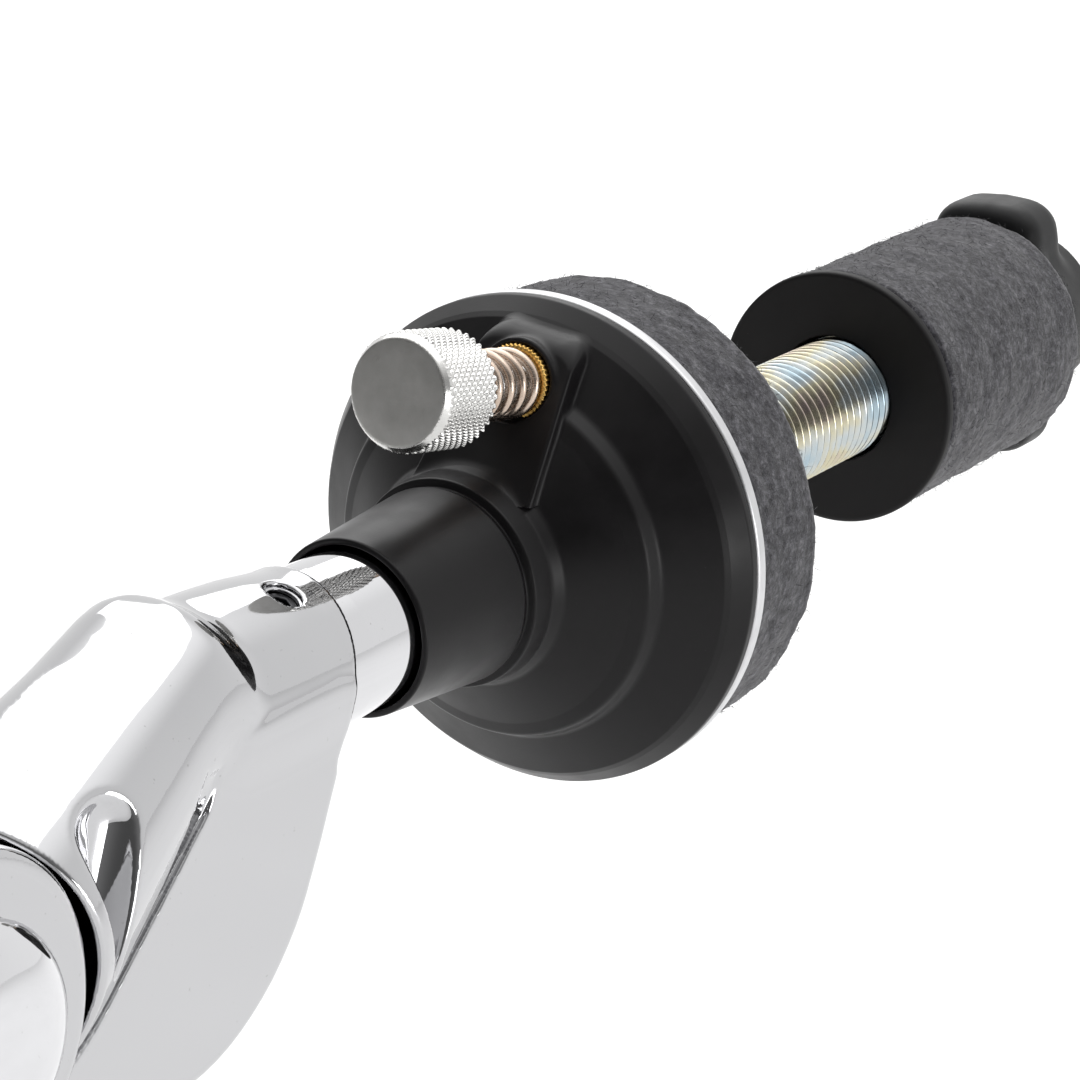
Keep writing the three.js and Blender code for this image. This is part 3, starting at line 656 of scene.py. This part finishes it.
def lower_casting(x, y, z):
    py, pz = PIVOT[1:]
    drum = np.hypot(y - py, z - pz)
    cheeks = soft_both(drum - DRUM_RADIUS, np.abs(x) - CHEEK_OUTER, 1.1)
    neck_outline = [[py + u, pz + v] for u, v in SHOULDERS]
    neck = soft_both(outline_field(y, z, neck_outline), np.abs(x) - CHEEK_OUTER, 2.0)
    out = np.hypot(x, y)
    low, high = BASE_LOW[2], pz - 20
    side = out - SOCKET_RADIUS + 0.25 * np.clip(z - high + 4, 0, 5)
    barrel = soft_both(side, np.maximum(low - z, z - high), 2.4)
    body = soft_join(soft_join(cheeks, neck, 1.5), barrel, 3.0)
    body = soft_cut(body, np.maximum(drum - DRUM_RADIUS - 0.5, np.abs(x) - CHEEK_INNER), 0.5)
    body = soft_cut(body, drum - BOLT_BORE, 0.3)
    body = soft_cut(body, np.maximum(out - ARM_RADIUS - 0.3, z - ARM_HIGH[2] - 0.3), 0.6)
    clamp = np.hypot(x, z - CLAMP_SCREW_Z)
    return soft_cut(body, np.maximum(clamp - 3.3, y + 8.5), 0.4)


def make_lower_casting():
    shape = net(lower_casting, BASE_LOW - NET_ROOM, BASE_HIGH + NET_ROOM, 0.42)
    make("tilter_base_cast", shape, "arm", "chrome_casting", "tilter_base")


def make_arm():
    low, high = ARM_LOW[2], ARM_HIGH[2]
    inner = ARM_RADIUS - ARM_WALL
    section = [[inner, low, 0.2], [ARM_RADIUS, low, 0.3], [ARM_RADIUS, high, 0.3], [inner, high, 0.2]]
    points, faces = turned(rounded(section, True), 160, True)
    make("arm_tube_pipe", (along_z(points), faces), "arm", "chrome_tube", "arm_tube")
    points, faces = turned(rounded(CAP_SECTION), 96)
    make("arm_end_cap_plug", (along_z(points), faces), "arm", "cap_plastic", "arm_end_cap")


def socket_head(x, y, z):
    """Cap screw along Y: a plain round head with a hexagon key hole, and a plain shank."""
    out = np.hypot(x, z)
    head = bar_field(out, y, 5, -18.5, -13.6, 0.5)
    shank = bar_field(out, y, 3, -14, -ARM_RADIUS - 0.3, 0.3)
    key = np.maximum(outline_field(x, z, prism(4, 30)), y + 15.5)
    return soft_cut(np.minimum(head, shank), key, 0.25)


def make_clamp_screw():
    shape = net(socket_head, (-5.6, -19, -5.6), (5.6, -9.2, 5.6), 0.16)
    make("base_clamp_screw_cap", shape, "arm", "black_steel", "base_clamp_screw", (0, 0, CLAMP_SCREW_Z))


# ---- Tilt pivot hardware, in the pivot frame -----------------
BOLT_RADIUS = 3.9
BOLT_END = -25.0
BOLT_DOME = [[8.6, 0], [8.5, 1.2], [7.2, 2.6], [4.6, 3.6], [0, 4]]
NUT_SEAT = -12.6
WING_BLADE = [[2, 9], [2, 4], [9, 5], [15, 6], [20, 9], [22, 12], [20.5, 14.7], [16, 14.6], [8, 10]]


def make_pivot_bolt():
    sides = 72
    face = CHEEK_OUTER + 0.3
    dome = smooth_line([[r, face + rise] for r, rise in BOLT_DOME], 5)[:-1]
    rows, radii = thread_rows(BOLT_RADIUS, 0.5, ROD_PITCH, BOLT_END, -13, sides)
    plain = np.full((2, sides), BOLT_RADIUS)
    radii = np.vstack([radii[:-1], plain, *[np.full((1, sides), max(r, 0.01)) for r, _ in dome]])
    alongs = [*rows[:-1], -12.8, face - 0.02, *[y for _, y in dome]]
    points, faces = patterned(radii, alongs, sides)
    make("pivot_bolt_dome", (along_x(points), faces), "arm", "chrome_bolt", "pivot_bolt", PIVOT)


def make_pivot_hardware():
    for name in ("friction_disc_left", "friction_disc_right"):
        low, high = span(name)[0][0], span(name)[1][0]
        section = [[4.2, low, 0.1], [11, low, 0.15], [11, high, 0.15], [4.2, high, 0.1]]
        points, faces = turned(rounded(section, True), 96, True)
        make(name + "_ring", (along_x(points), faces), "arm", "friction_nylon", name, (0, *PIVOT[1:]))
    section = [[4.2, -12.3, 0.15], [8.6, -12.3, 0.3], [8.6, -10.7, 0.3], [4.2, -10.7, 0.15]]
    points, faces = turned(rounded(section, True), 96, True)
    make("pivot_washer_ring", (along_x(points), faces), "pivot_collar", "plated_steel", "pivot_washer", PIVOT)


def make_pivot_nut():
    shape = net(pivot_nut, (-28.8, -8.2, -23), (NUT_SEAT + 0.5, 8.2, 23), 0.36)
    make("pivot_wing_nut_cast", shape, "pivot_nut", "chrome_wing", "pivot_wing_nut", PIVOT)


def pivot_hub(x, y, z):
    depth = NUT_SEAT - x
    taper = 7.4 - np.clip(depth - 1, 0, 9) * (1.6 / 9)
    return soft_both(np.hypot(y, z) - taper, np.maximum(-depth, depth - 10), 0.9)


def pivot_wings(x, y, z):
    depth = NUT_SEAT - x
    curve = smooth_line([*WING_BLADE, WING_BLADE[0]], 5)[:-1]
    return soft_both(outline_field(np.abs(z), depth, curve), np.abs(y) - 1.8, 1.6)


def pivot_nut(x, y, z):
    body = soft_join(pivot_hub(x, y, z), pivot_wings(x, y, z), 1.8)
    return soft_cut(body, np.hypot(y, z) - BOLT_RADIUS - 0.3, 0.4)


# ---- Rod, collar and seat cup, in the head frame -------------
THREAD_FROM = 36.0
COLLAR_SIDE = [[6.9, -10.2, 0.15], [6.9, -6, 1], [6.75, 0, 1], [6.6, 8.2, 0.2]]


def make_rod():
    """The rod's plain lower part, its thread, and the chrome collar that its shoulder stands in."""
    sides = 96
    rows, radii = thread_rows(ROD_RADIUS, 0.62, ROD_PITCH, THREAD_FROM, ROD_HIGH[1] - HEAD[1], sides, 14)
    plain = [(4.6, -30), (4.9, -29.6), (4.9, -9.02), (ROD_RADIUS, -9), (ROD_RADIUS, THREAD_FROM - 1)]
    radii = np.vstack([*[np.full((1, sides), r) for r, _ in plain], radii])
    alongs = [*[y for _, y in plain], *rows]
    make("threaded_rod_screw", patterned(radii, alongs, sides), "head", "zinc_thread", "threaded_rod", HEAD)
    inner = ROD_RADIUS + 0.3
    section = [[inner, -10.2, 0.1], *COLLAR_SIDE, [inner, 8.2, 0.1]]
    shape = turned(rounded(section, True), 192, True)
    make("rod_collar_sleeve", shape, "head", "chrome_tube", "rod_collar", HEAD)


CUP_SIDE = [
    [7.62, 0, 0.5], [8.6, 12.9, 0.25], [8.35, 13.5, 0.2], [9.15, 13.7, 0.22], [9.35, 16, 1.2], [9.9, 17.1, 1.0],
    [14.4, 20.2, 1.6], [15.7, 20.9, 0.8], [16.2, 22.3, 1.0], [20.5, 25.2, 0.5], [20.9, 25.7, 0.4],
    [RIM_RADIUS, 27.4, 0.5], [RIM_RADIUS, 28.2, 0.15],
]
CUP_INSIDE = [
    [19.6, 28.2, 0.15], [19.3, 27.2, 0.3], [15.4, 24.3, 0.5], [10.2, 19.8, 0.3], [6.33, 19.8, 0.1],
    [6.33, 8.6, 0.1], [7.05, 8.6, 0.1], [7.05, 0, 0.2],
]
BOSS_TOP = 20.4
BOSS_FOOT = 9.2
BOSS_FOOT_Y = 16.7
BOSS_SLOPE = 0.55
BOSS_HALF = 5.7
POST_RADIUS = 3.85


def boss_frame(x, y, z):
    """Out from the rod axis and sideways, in the turned frame of the boss."""
    out = x * math.sin(BOSS_TURN) + z * math.cos(BOSS_TURN)
    side = x * math.cos(BOSS_TURN) - z * math.sin(BOSS_TURN)
    return out, side


def boss_block(x, y, z):
    """Crisp edges down both flanks, a soft one where the front rolls into the top."""
    out, side = boss_frame(x, y, z)
    front = (BOSS_FOOT_Y + BOSS_SLOPE * (out - BOSS_FOOT) - y) / math.hypot(1, BOSS_SLOPE)
    flank = np.abs(side) - BOSS_HALF + (out - BOSS_FOOT) * (1.2 / 11.2)
    corner = soft_both(flank, out - BOSS_TOP, 1.8)
    edge = np.interp(out, [18.6, BOSS_TOP - 0.2], [0.3, 1.8])
    block = soft_both(corner, front, edge)
    return np.maximum(block, np.maximum(y - 26.4, 9.0 - np.hypot(x, z)))


def boss_piece(x, y, z):
    """The boss with its fillets onto the cup, as a shell that sinks just below the cup's own surface."""
    cup = outline_field(np.hypot(x, z), y, rounded(CUP_SIDE + CUP_INSIDE, True, 3))
    dx, dy, dz = x - SCREW_IN_HEAD[0], y - SCREW_IN_HEAD[1], z - SCREW_IN_HEAD[2]
    along = dx * SCREW_IN[0] + dy * SCREW_IN[1] + dz * SCREW_IN[2]
    off = np.sqrt(np.maximum(dx**2 + dy**2 + dz**2 - along**2, 0))
    post = bar_field(off, along, POST_RADIUS, 0.12, 8, 0.25)
    body = soft_join(soft_join(boss_block(x, y, z), post, 0.3), cup, 0.45) + 0.02
    body = np.maximum(body, -(cup + 0.9))
    return soft_cut(body, np.maximum(off - 3.34, along - 8), 0.12)


def make_cup():
    shell = turned(rounded(CUP_SIDE + CUP_INSIDE, True, 5), 240, True)
    points, faces = net(boss_piece, (-8, 11.5, 7), (9.5, 27.2, 22), 0.18)
    shape = joined(shell, (points, faces.tolist()))
    make("seat_cup_moulding", shape, "head", "cup_plastic", "seat_cup", HEAD)


def hex_nut(across_flats, low, high, bore, start):
    chamfer = across_flats / 2 + 0.25

    def field(x, y, z):
        out = np.hypot(x, z)
        ends = np.abs(y - (low + high) / 2) - (high - low) / 2
        cone = (out - chamfer) * 0.5 + ends * 0.86
        body = soft_both(outline_field(x, z, prism(across_flats, start)), ends, 0.2)
        return soft_cut(np.maximum(body, cone), out - bore, 0.3)

    corner = across_flats / math.sqrt(3) + 0.4
    return net(field, (-corner, low - 0.4, -corner), (corner, high + 0.4, corner), 0.26)


def make_lock_nut():
    shape = hex_nut(17, 20.1, 25.6, ROD_RADIUS + 0.3, 30)
    make("seat_lock_nut_hex", shape, "head", "plated_steel", "seat_lock_nut", HEAD)


# ---- Tilt screw, in a frame along the screw ------------------
KNOB_RADIUS = 5.0
KNOB_NEAR = -18.1
KNOB_FAR = -10.5
STEM_RADIUS = 1.85
SPRING_RADIUS = 3.05
SPRING_WIRE = 0.45
SPRING_TURNS = 4.5
SPRING_LOW = -9.3
SPRING_HIGH = -0.6
INSERT_RADIUS = 3.3


def in_screw(points):
    return about(points, turn_from_y(SCREW_IN))


def triangle(t):
    return 1 - np.abs(2 * (t % 1) - 1)


def make_knob():
    """Knurled knob: a satin face, a bright chamfer, then diamonds left by two crossing sets of grooves."""
    around, pitch, depth, sides = 40, 0.87, 0.30, 480
    near = [(0.4, 0), (2.2, 0), (4.2, 0), (4.38, 0.02), (4.47, 0.08), (4.52, 0.17), (4.72, 0.45), (4.86, 0.7)]
    far = [(4.72, 0.3), (4.55, 0.1), (4.4, 0.0), (2.4, 0)]
    rows = np.linspace(KNOB_NEAR + 0.85, KNOB_FAR - 0.35, 96)
    angle = np.arange(sides) / sides
    one = triangle(around * angle[None, :] + rows[:, None] / pitch)
    two = triangle(around * angle[None, :] - rows[:, None] / pitch)
    height = np.clip(np.minimum(one, two) * 1.5, 0, 1)
    knurl = KNOB_RADIUS - depth * (1 - height)
    radii = [np.full((1, sides), r) for r, _ in near] + [knurl] + [np.full((1, sides), r) for r, _ in far]
    alongs = [KNOB_NEAR + d for _, d in near] + list(rows) + [KNOB_FAR - d for _, d in far]
    points, faces = patterned(np.vstack(radii), alongs, sides)

    def satin_face(mesh):
        centre = np.empty(len(mesh.polygons) * 3)
        mesh.polygons.foreach_get("center", centre)
        depth_in = (centre.reshape(-1, 3) / MM - SCREW) @ SCREW_IN
        return (depth_in < KNOB_NEAR + 0.05).astype(int)

    face = bare_metal("knob_face", (0.47, 0.465, 0.45), (0.40, 0.395, 0.38), 0.42, (1, 1, 1), 0.004)
    shape = (in_screw(points), faces)
    make("tilt_knob_knurled", shape, "thumbscrew", "knob_steel", "tilt_knob", SCREW, face, satin_face)


def make_stem():
    sides = 48
    rows, radii = thread_rows(STEM_RADIUS, 0.26, FINE_PITCH, -9.8, 7.0, sides, 10)
    radii = np.vstack([np.full((2, sides), STEM_RADIUS), radii])
    points, faces = patterned(radii, [KNOB_FAR - 3.5, -9.9, *rows], sides)
    make("tilt_screw_stem", (in_screw(points), faces), "thumbscrew", "plated_steel", "tilt_screw", SCREW)
    section = [[2.15, -10.2, 0.08], [3.2, -10.2, 0.15], [3.2, -9.6, 0.15], [2.15, -9.6, 0.08]]
    points, faces = turned(rounded(section, True), 72, True)
    make("tilt_washer_ring", (in_screw(points), faces), "screw_collar", "plated_steel", "tilt_washer", SCREW)


def make_spring():
    """Open coils with a closed half turn at each end."""
    steps = np.linspace(0, 1, int(SPRING_TURNS * 48) + 1)
    angle = steps * SPRING_TURNS * 2 * math.pi
    lead = 0.5 / SPRING_TURNS
    climb = np.clip((steps - lead * 0.6) / (1 - 1.2 * lead), 0, 1)
    ease = climb + 0.012 * np.sin(2 * math.pi * climb)
    along = SPRING_LOW + SPRING_WIRE + (SPRING_HIGH - SPRING_LOW - 2 * SPRING_WIRE) * ease
    radius = SPRING_RADIUS - SPRING_WIRE
    path = np.stack([radius * np.sin(angle), along, radius * np.cos(angle)], axis=1)
    points, faces = tube_along(path, SPRING_WIRE, 16)
    piece = make("tilt_spring_coil", (in_screw(points), faces), "head", "spring_wire", "tilt_spring", SCREW)
    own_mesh(piece)


def make_insert():
    """Brass insert with a finely serrated edge and a plain bore."""
    sides, teeth = 288, 48
    angle = np.arange(sides) / sides
    bite = 0.16 * (1 - triangle(teeth * angle))
    outer = [(-0.3, -0.12), (-0.24, -0.04), (-0.15, 0), (1.6, 0), (6.4, 0), (6.5, -0.1)]
    rows = [INSERT_RADIUS + inset - (bite if inset > -0.2 else bite * 0.4) for _, inset in outer]
    alongs = [y for y, _ in outer]
    bore = STEM_RADIUS + 0.3
    rows += [np.full(sides, bore), np.full(sides, bore), np.full(sides, bore + 0.25)]
    alongs += [6.5, -0.1, -0.3]
    turns = angle * 2 * math.pi
    points = np.vstack([
        np.stack([row * np.sin(turns), np.full(sides, y), row * np.cos(turns)], axis=1)
        for row, y in zip(rows, alongs)
    ])
    shape = (in_screw(points), grid_faces(len(rows), sides, True))
    make("brass_insert_serrated", shape, "head", "brass", "brass_insert", SCREW)


# ---- Plate, felts, washer and wing nut, in the head frame ----
PLATE_NEAR = 28.5
PLATE_FAR = 29.8
PLATE_BORE = 7.5
LOWER_FELT = (7.9, 21.3, 30.1, 40.7)  # inner and outer radius, near and far end
UPPER_FELT = (6.93, 12.75, 83.4, 112.9)
FELT_STEP = 0.42
CLAMP_NEAR = 82.0
CLAMP_FAR = 83.1


def make_plate():
    section = [
        [PLATE_BORE, PLATE_NEAR, 0.15], [RIM_RADIUS, PLATE_NEAR, 0.35],
        [RIM_RADIUS, PLATE_FAR, 0.35], [PLATE_BORE, PLATE_FAR, 0.15],
    ]
    shape = turned(rounded(section, True), 240, True)
    make("tilt_plate_disc", shape, "seat", "plate_steel", "tilt_plate", HEAD)


def waves(points, per_mm, seed, count=14):
    """Smooth pseudo-random heights: a sum of plane waves in random directions."""
    rng = np.random.default_rng(seed)
    way = rng.normal(size=(count, 3))
    often = per_mm * 2 * math.pi * rng.uniform(0.6, 1.5, (count, 1))
    way *= often / np.linalg.norm(way, axis=1, keepdims=True)
    phase = rng.uniform(0, 2 * math.pi, count)
    return np.sin(points @ way.T + phase).sum(axis=1) / math.sqrt(count)


def felt_ring(sizes, edge, seed, strands):
    """A felt ring: a lumpy body with short curling fibres standing out of it."""
    inner, outer, low, high = sizes
    near, far, rim = low + 0.2, high - 0.2, outer - 0.25
    line = rounded([[inner, near, 0.4], [rim, near, edge], [rim, far, edge], [inner, far, 0.5]], True, 6)
    dense = []
    for a, b in zip(line, np.roll(line, -1, axis=0)):
        pieces = max(1, int(np.linalg.norm(b - a) / FELT_STEP))
        dense.extend(a + (b - a) * i / pieces for i in range(pieces))
    sides = int(2 * math.pi * outer / FELT_STEP)
    points, faces = turned(dense, sides, True)
    ahead = np.roll(dense, -1, axis=0) - np.roll(dense, 1, axis=0)
    normal = np.stack([-ahead[:, 1], ahead[:, 0]], axis=1)
    normal /= -np.linalg.norm(normal, axis=1, keepdims=True)
    angle = np.arange(sides) * 2 * math.pi / sides
    outward = np.stack([
        np.outer(normal[:, 0], np.sin(angle)),
        np.repeat(normal[:, 1:2], sides, axis=1),
        np.outer(normal[:, 0], np.cos(angle)),
    ], axis=-1).reshape(-1, 3)
    lumps = 0.08 * waves(points, 0.2, seed) + 0.03 * waves(points, 0.6, seed + 1)
    lumps += 0.025 * waves(points, 1.1, seed + 2)
    points = points + outward * np.clip(lumps, -0.25, 0.22)[:, None]
    return joined((points, faces), fibres(points, outward, inner, strands, seed + 3))


def fibres(points, outward, inner, count, seed):
    """Three-sided tapering strands, four rings each, that start on a surface and curl away from it."""
    rng = np.random.default_rng(seed)
    fit = np.flatnonzero(np.hypot(points[:, 0], points[:, 2]) > inner + 0.6)
    root = rng.choice(fit, count)
    start = points[root] + rng.normal(scale=0.15, size=(count, 3)) - outward[root] * 0.05
    flat = np.cross(outward[root], rng.normal(size=(count, 3)))
    flat /= np.linalg.norm(flat, axis=1, keepdims=True)
    rise = rng.uniform(0.05, 0.75, (count, 1)) ** 1.5
    way = flat * (1 - rise) + outward[root] * rise
    way /= np.linalg.norm(way, axis=1, keepdims=True)
    curl = np.cross(way, rng.normal(size=(count, 3))) * 0.45 - outward[root] * 0.2
    length = rng.uniform(0.3, 0.85, (count, 1))
    side = np.cross(way, outward[root] + 0.3)
    side /= np.linalg.norm(side, axis=1, keepdims=True)
    up = np.cross(side, way)
    rings = []
    for share, radius in ((0.0, 0.024), (0.35, 0.022), (0.7, 0.017), (1.0, 0.006)):
        middle = start + (way * share + curl * share**2) * length
        for turn in map(math.radians, (0, 120, 240)):
            rings.append(middle + (side * math.cos(turn) + up * math.sin(turn)) * radius)
    strand = np.stack(rings, axis=1).reshape(-1, 3)
    first = np.arange(count) * len(rings)
    faces = (np.array(grid_faces(4, 3))[None] + first[:, None, None]).reshape(-1, 4).tolist()
    for end in ((2, 1, 0), (9, 10, 11)):
        faces.extend((np.array(end)[None] + first[:, None]).tolist())
    return strand, faces


def make_felts():
    lower = felt_ring(LOWER_FELT, 0.9, seed=11, strands=6500)
    lower = make("lower_felt_ring", lower, "seat", "grey_felt", "lower_felt", HEAD)
    upper = felt_ring(UPPER_FELT, 0.8, seed=23, strands=5200)
    upper = make("upper_felt_ring", upper, "clamp", "grey_felt", "upper_felt", HEAD)


def make_upper_washer():
    inner, outer = ROD_RADIUS + 0.3, UPPER_FELT[1]
    section = [
        [inner, CLAMP_NEAR, 0.15], [outer, CLAMP_NEAR, 0.45],
        [outer, CLAMP_FAR, 0.2], [inner, CLAMP_FAR, 0.1],
    ]
    shape = turned(rounded(section, True), 200, True)
    make("upper_washer_disc", shape, "clamp", "washer_plastic", "upper_washer", HEAD)


NUT_NEAR = 113.2
NUT_FAR = 125.7
PADDLE_QUARTER = [(6.3, 0), (6.3, 4), (6.3, 7), (6.25, 9.4), (5.6, 11.8), (3.6, 13.3), (0, 13.7)]


def wing_outline():
    """One paddle's outline and its mirror image, as [x, z] points round the nut."""
    right = smooth_line(PADDLE_QUARTER, 4)[:-1]
    left = smooth_line([PADDLE_QUARTER[-1], *[(-x, z) for x, z in PADDLE_QUARTER[-2::-1]]], 4)[:-1]
    upper = np.vstack([right, left])
    return np.vstack([upper, -upper])


def wing_nut(x, y, z):
    out = np.hypot(x, z)
    places = [NUT_NEAR, NUT_NEAR + 2, NUT_NEAR + 4, NUT_FAR - 1, NUT_FAR]
    radius = np.interp(y, places, [10.5, 10.4, 9.4, 8.8, 8.0])
    hub = soft_both(out - radius, np.abs(y - (NUT_NEAR + NUT_FAR) / 2) - (NUT_FAR - NUT_NEAR) / 2, 0.8)
    low, high = NUT_NEAR + 0.6, NUT_NEAR + 8.1
    ends = np.abs(y - (low + high) / 2) - (high - low) / 2
    paddles = soft_both(outline_field(x, z, wing_outline()), ends, 2.4)
    body = soft_join(hub, paddles, 1.6)
    room = np.maximum(outline_field(x, z, prism(15.4, 0)), y - NUT_NEAR - 8.3)
    body = soft_cut(body, room, 0.25)
    return soft_cut(body, out - ROD_RADIUS - 0.3, 0.4)


def make_wing_nut():
    shape = net(wing_nut, (-11.6, NUT_NEAR - 0.6, -15.8), (11.6, NUT_FAR + 0.6, 15.8), 0.34)
    make("wing_nut_moulding", shape, "clamp_nut", "nut_plastic", "wing_nut", HEAD)
    core = hex_nut(15, NUT_NEAR, NUT_NEAR + 8, ROD_RADIUS + 0.15, 0)
    make("wing_nut_insert_hex", core, "clamp_nut", "plated_steel", "wing_nut_insert", HEAD)


# ---- Stage ---------------------------------------------------
LENS, SENSOR = 120.6, 36
CAMERA_AT = (0.16361, -0.1651, 0.2377)
CAMERA_RIGHT = (0.83926, 0.54373, 0)
CAMERA_UP = (-0.16817, 0.25958, 0.95097)
CAMERA_AHEAD = (-0.51707, 0.79811, -0.30929)
FRONT_TO_BACK = [(0.0, 0.10), (0.42, 0.22), (0.66, 0.95), (1.0, 1.05)]  # places on the ramp and brightness
FROM_ABOVE = [(0.72, 0.0), (0.92, 0.6)]
FLOOR_HALF = 1.9
FLOOR_Z = -0.0006


def make_camera():
    data = bpy.data.cameras.new("camera")
    data.lens, data.sensor_width = LENS, SENSOR
    camera = bpy.data.objects.new("camera", data)
    bpy.context.scene.collection.objects.link(camera)
    turn = Matrix((CAMERA_RIGHT, CAMERA_UP, [-a for a in CAMERA_AHEAD])).transposed().to_4x4()
    camera.matrix_world = Matrix.Translation(CAMERA_AT) @ turn
    bpy.context.scene.camera = camera


def make_light(name, place, target, size, watts):
    data = bpy.data.lights.new(name, "AREA")
    data.shape = "RECTANGLE"
    data.size, data.size_y = size
    data.energy = watts
    lamp = bpy.data.objects.new(name, data)
    lamp.location = place
    lamp.rotation_mode = "QUATERNION"
    lamp.rotation_quaternion = (Vector(target) - Vector(place)).to_track_quat("-Z", "Y")
    bpy.context.scene.collection.objects.link(lamp)


def make_world():
    """A studio with a bright back wall and a dark room in front, lit a little more from above."""
    world = bpy.data.worlds.new("studio")
    bpy.context.scene.world = world
    world.use_nodes = True
    nodes, links = world.node_tree.nodes, world.node_tree.links
    place = nodes.new("ShaderNodeTexCoord")
    split = nodes.new("ShaderNodeSeparateXYZ")
    links.new(place.outputs["Generated"], split.inputs[0])

    def level(source, stops):
        scale = nodes.new("ShaderNodeMath")
        scale.operation = "MULTIPLY_ADD"
        scale.inputs[1].default_value = 0.5
        scale.inputs[2].default_value = 0.5
        ramp = nodes.new("ShaderNodeValToRGB")
        ramp.color_ramp.interpolation = "EASE"
        while len(ramp.color_ramp.elements) < len(stops):
            ramp.color_ramp.elements.new(0.5)
        for element, (position, grey) in zip(ramp.color_ramp.elements, stops):
            element.position = position
            element.color = (grey, grey, grey, 1)
        links.new(source, scale.inputs[0])
        links.new(scale.outputs[0], ramp.inputs["Fac"])
        return ramp.outputs["Color"]

    both = nodes.new("ShaderNodeMix")
    both.data_type = "RGBA"
    both.blend_type = "ADD"
    both.inputs[0].default_value = 1
    links.new(level(split.outputs["Y"], FRONT_TO_BACK), both.inputs[6])
    links.new(level(split.outputs["Z"], FROM_ABOVE), both.inputs[7])
    links.new(both.outputs[2], nodes["Background"].inputs["Color"])
    nodes["Background"].inputs["Strength"].default_value = 1.0


def make_floor():
    mesh = bpy.data.meshes.new("floor")
    corners = [(x * FLOOR_HALF, y * FLOOR_HALF, FLOOR_Z) for x, y in ((-1, -1), (1, -1), (1, 1), (-1, 1))]
    mesh.from_pydata(corners, [], [(0, 1, 2, 3)])
    finish = Finish("floor", Roughness=0.9)
    finish.into("Base Color", finish.ramp(finish.noise(0.02, 2), (0.3, 0.90), (0.7, 0.93)))
    mesh.materials.append(finish.material)
    floor = bpy.data.objects.new("floor", mesh)
    bpy.context.scene.collection.objects.link(floor)


def make_stage():
    bpy.context.scene.view_settings.view_transform = "Standard"
    make_world()
    make_floor()
    make_light("background", (-0.65, 0.85, 0.85), (-0.4, 0.65, 0), (1.0, 0.9), 4.4)
    make_light("top", (-0.1, 0.15, 1.0), (0, 0.07, 0.13), (1.3, 1.1), 3.7)
    make_light("right", (0.75, 0.02, 0.05), (0, 0.08, 0.14), (0.3, 0.4), 1.7)


make_camera()
make_stage()
make_upper_casting()
make_set_screw()
make_lower_casting()
make_arm()
make_clamp_screw()
make_pivot_bolt()
make_pivot_hardware()
make_pivot_nut()
make_rod()
make_cup()
make_lock_nut()
make_knob()
make_stem()
make_spring()
make_insert()
make_plate()
make_felts()
make_upper_washer()
make_wing_nut()

bpy.context.view_layer.update()
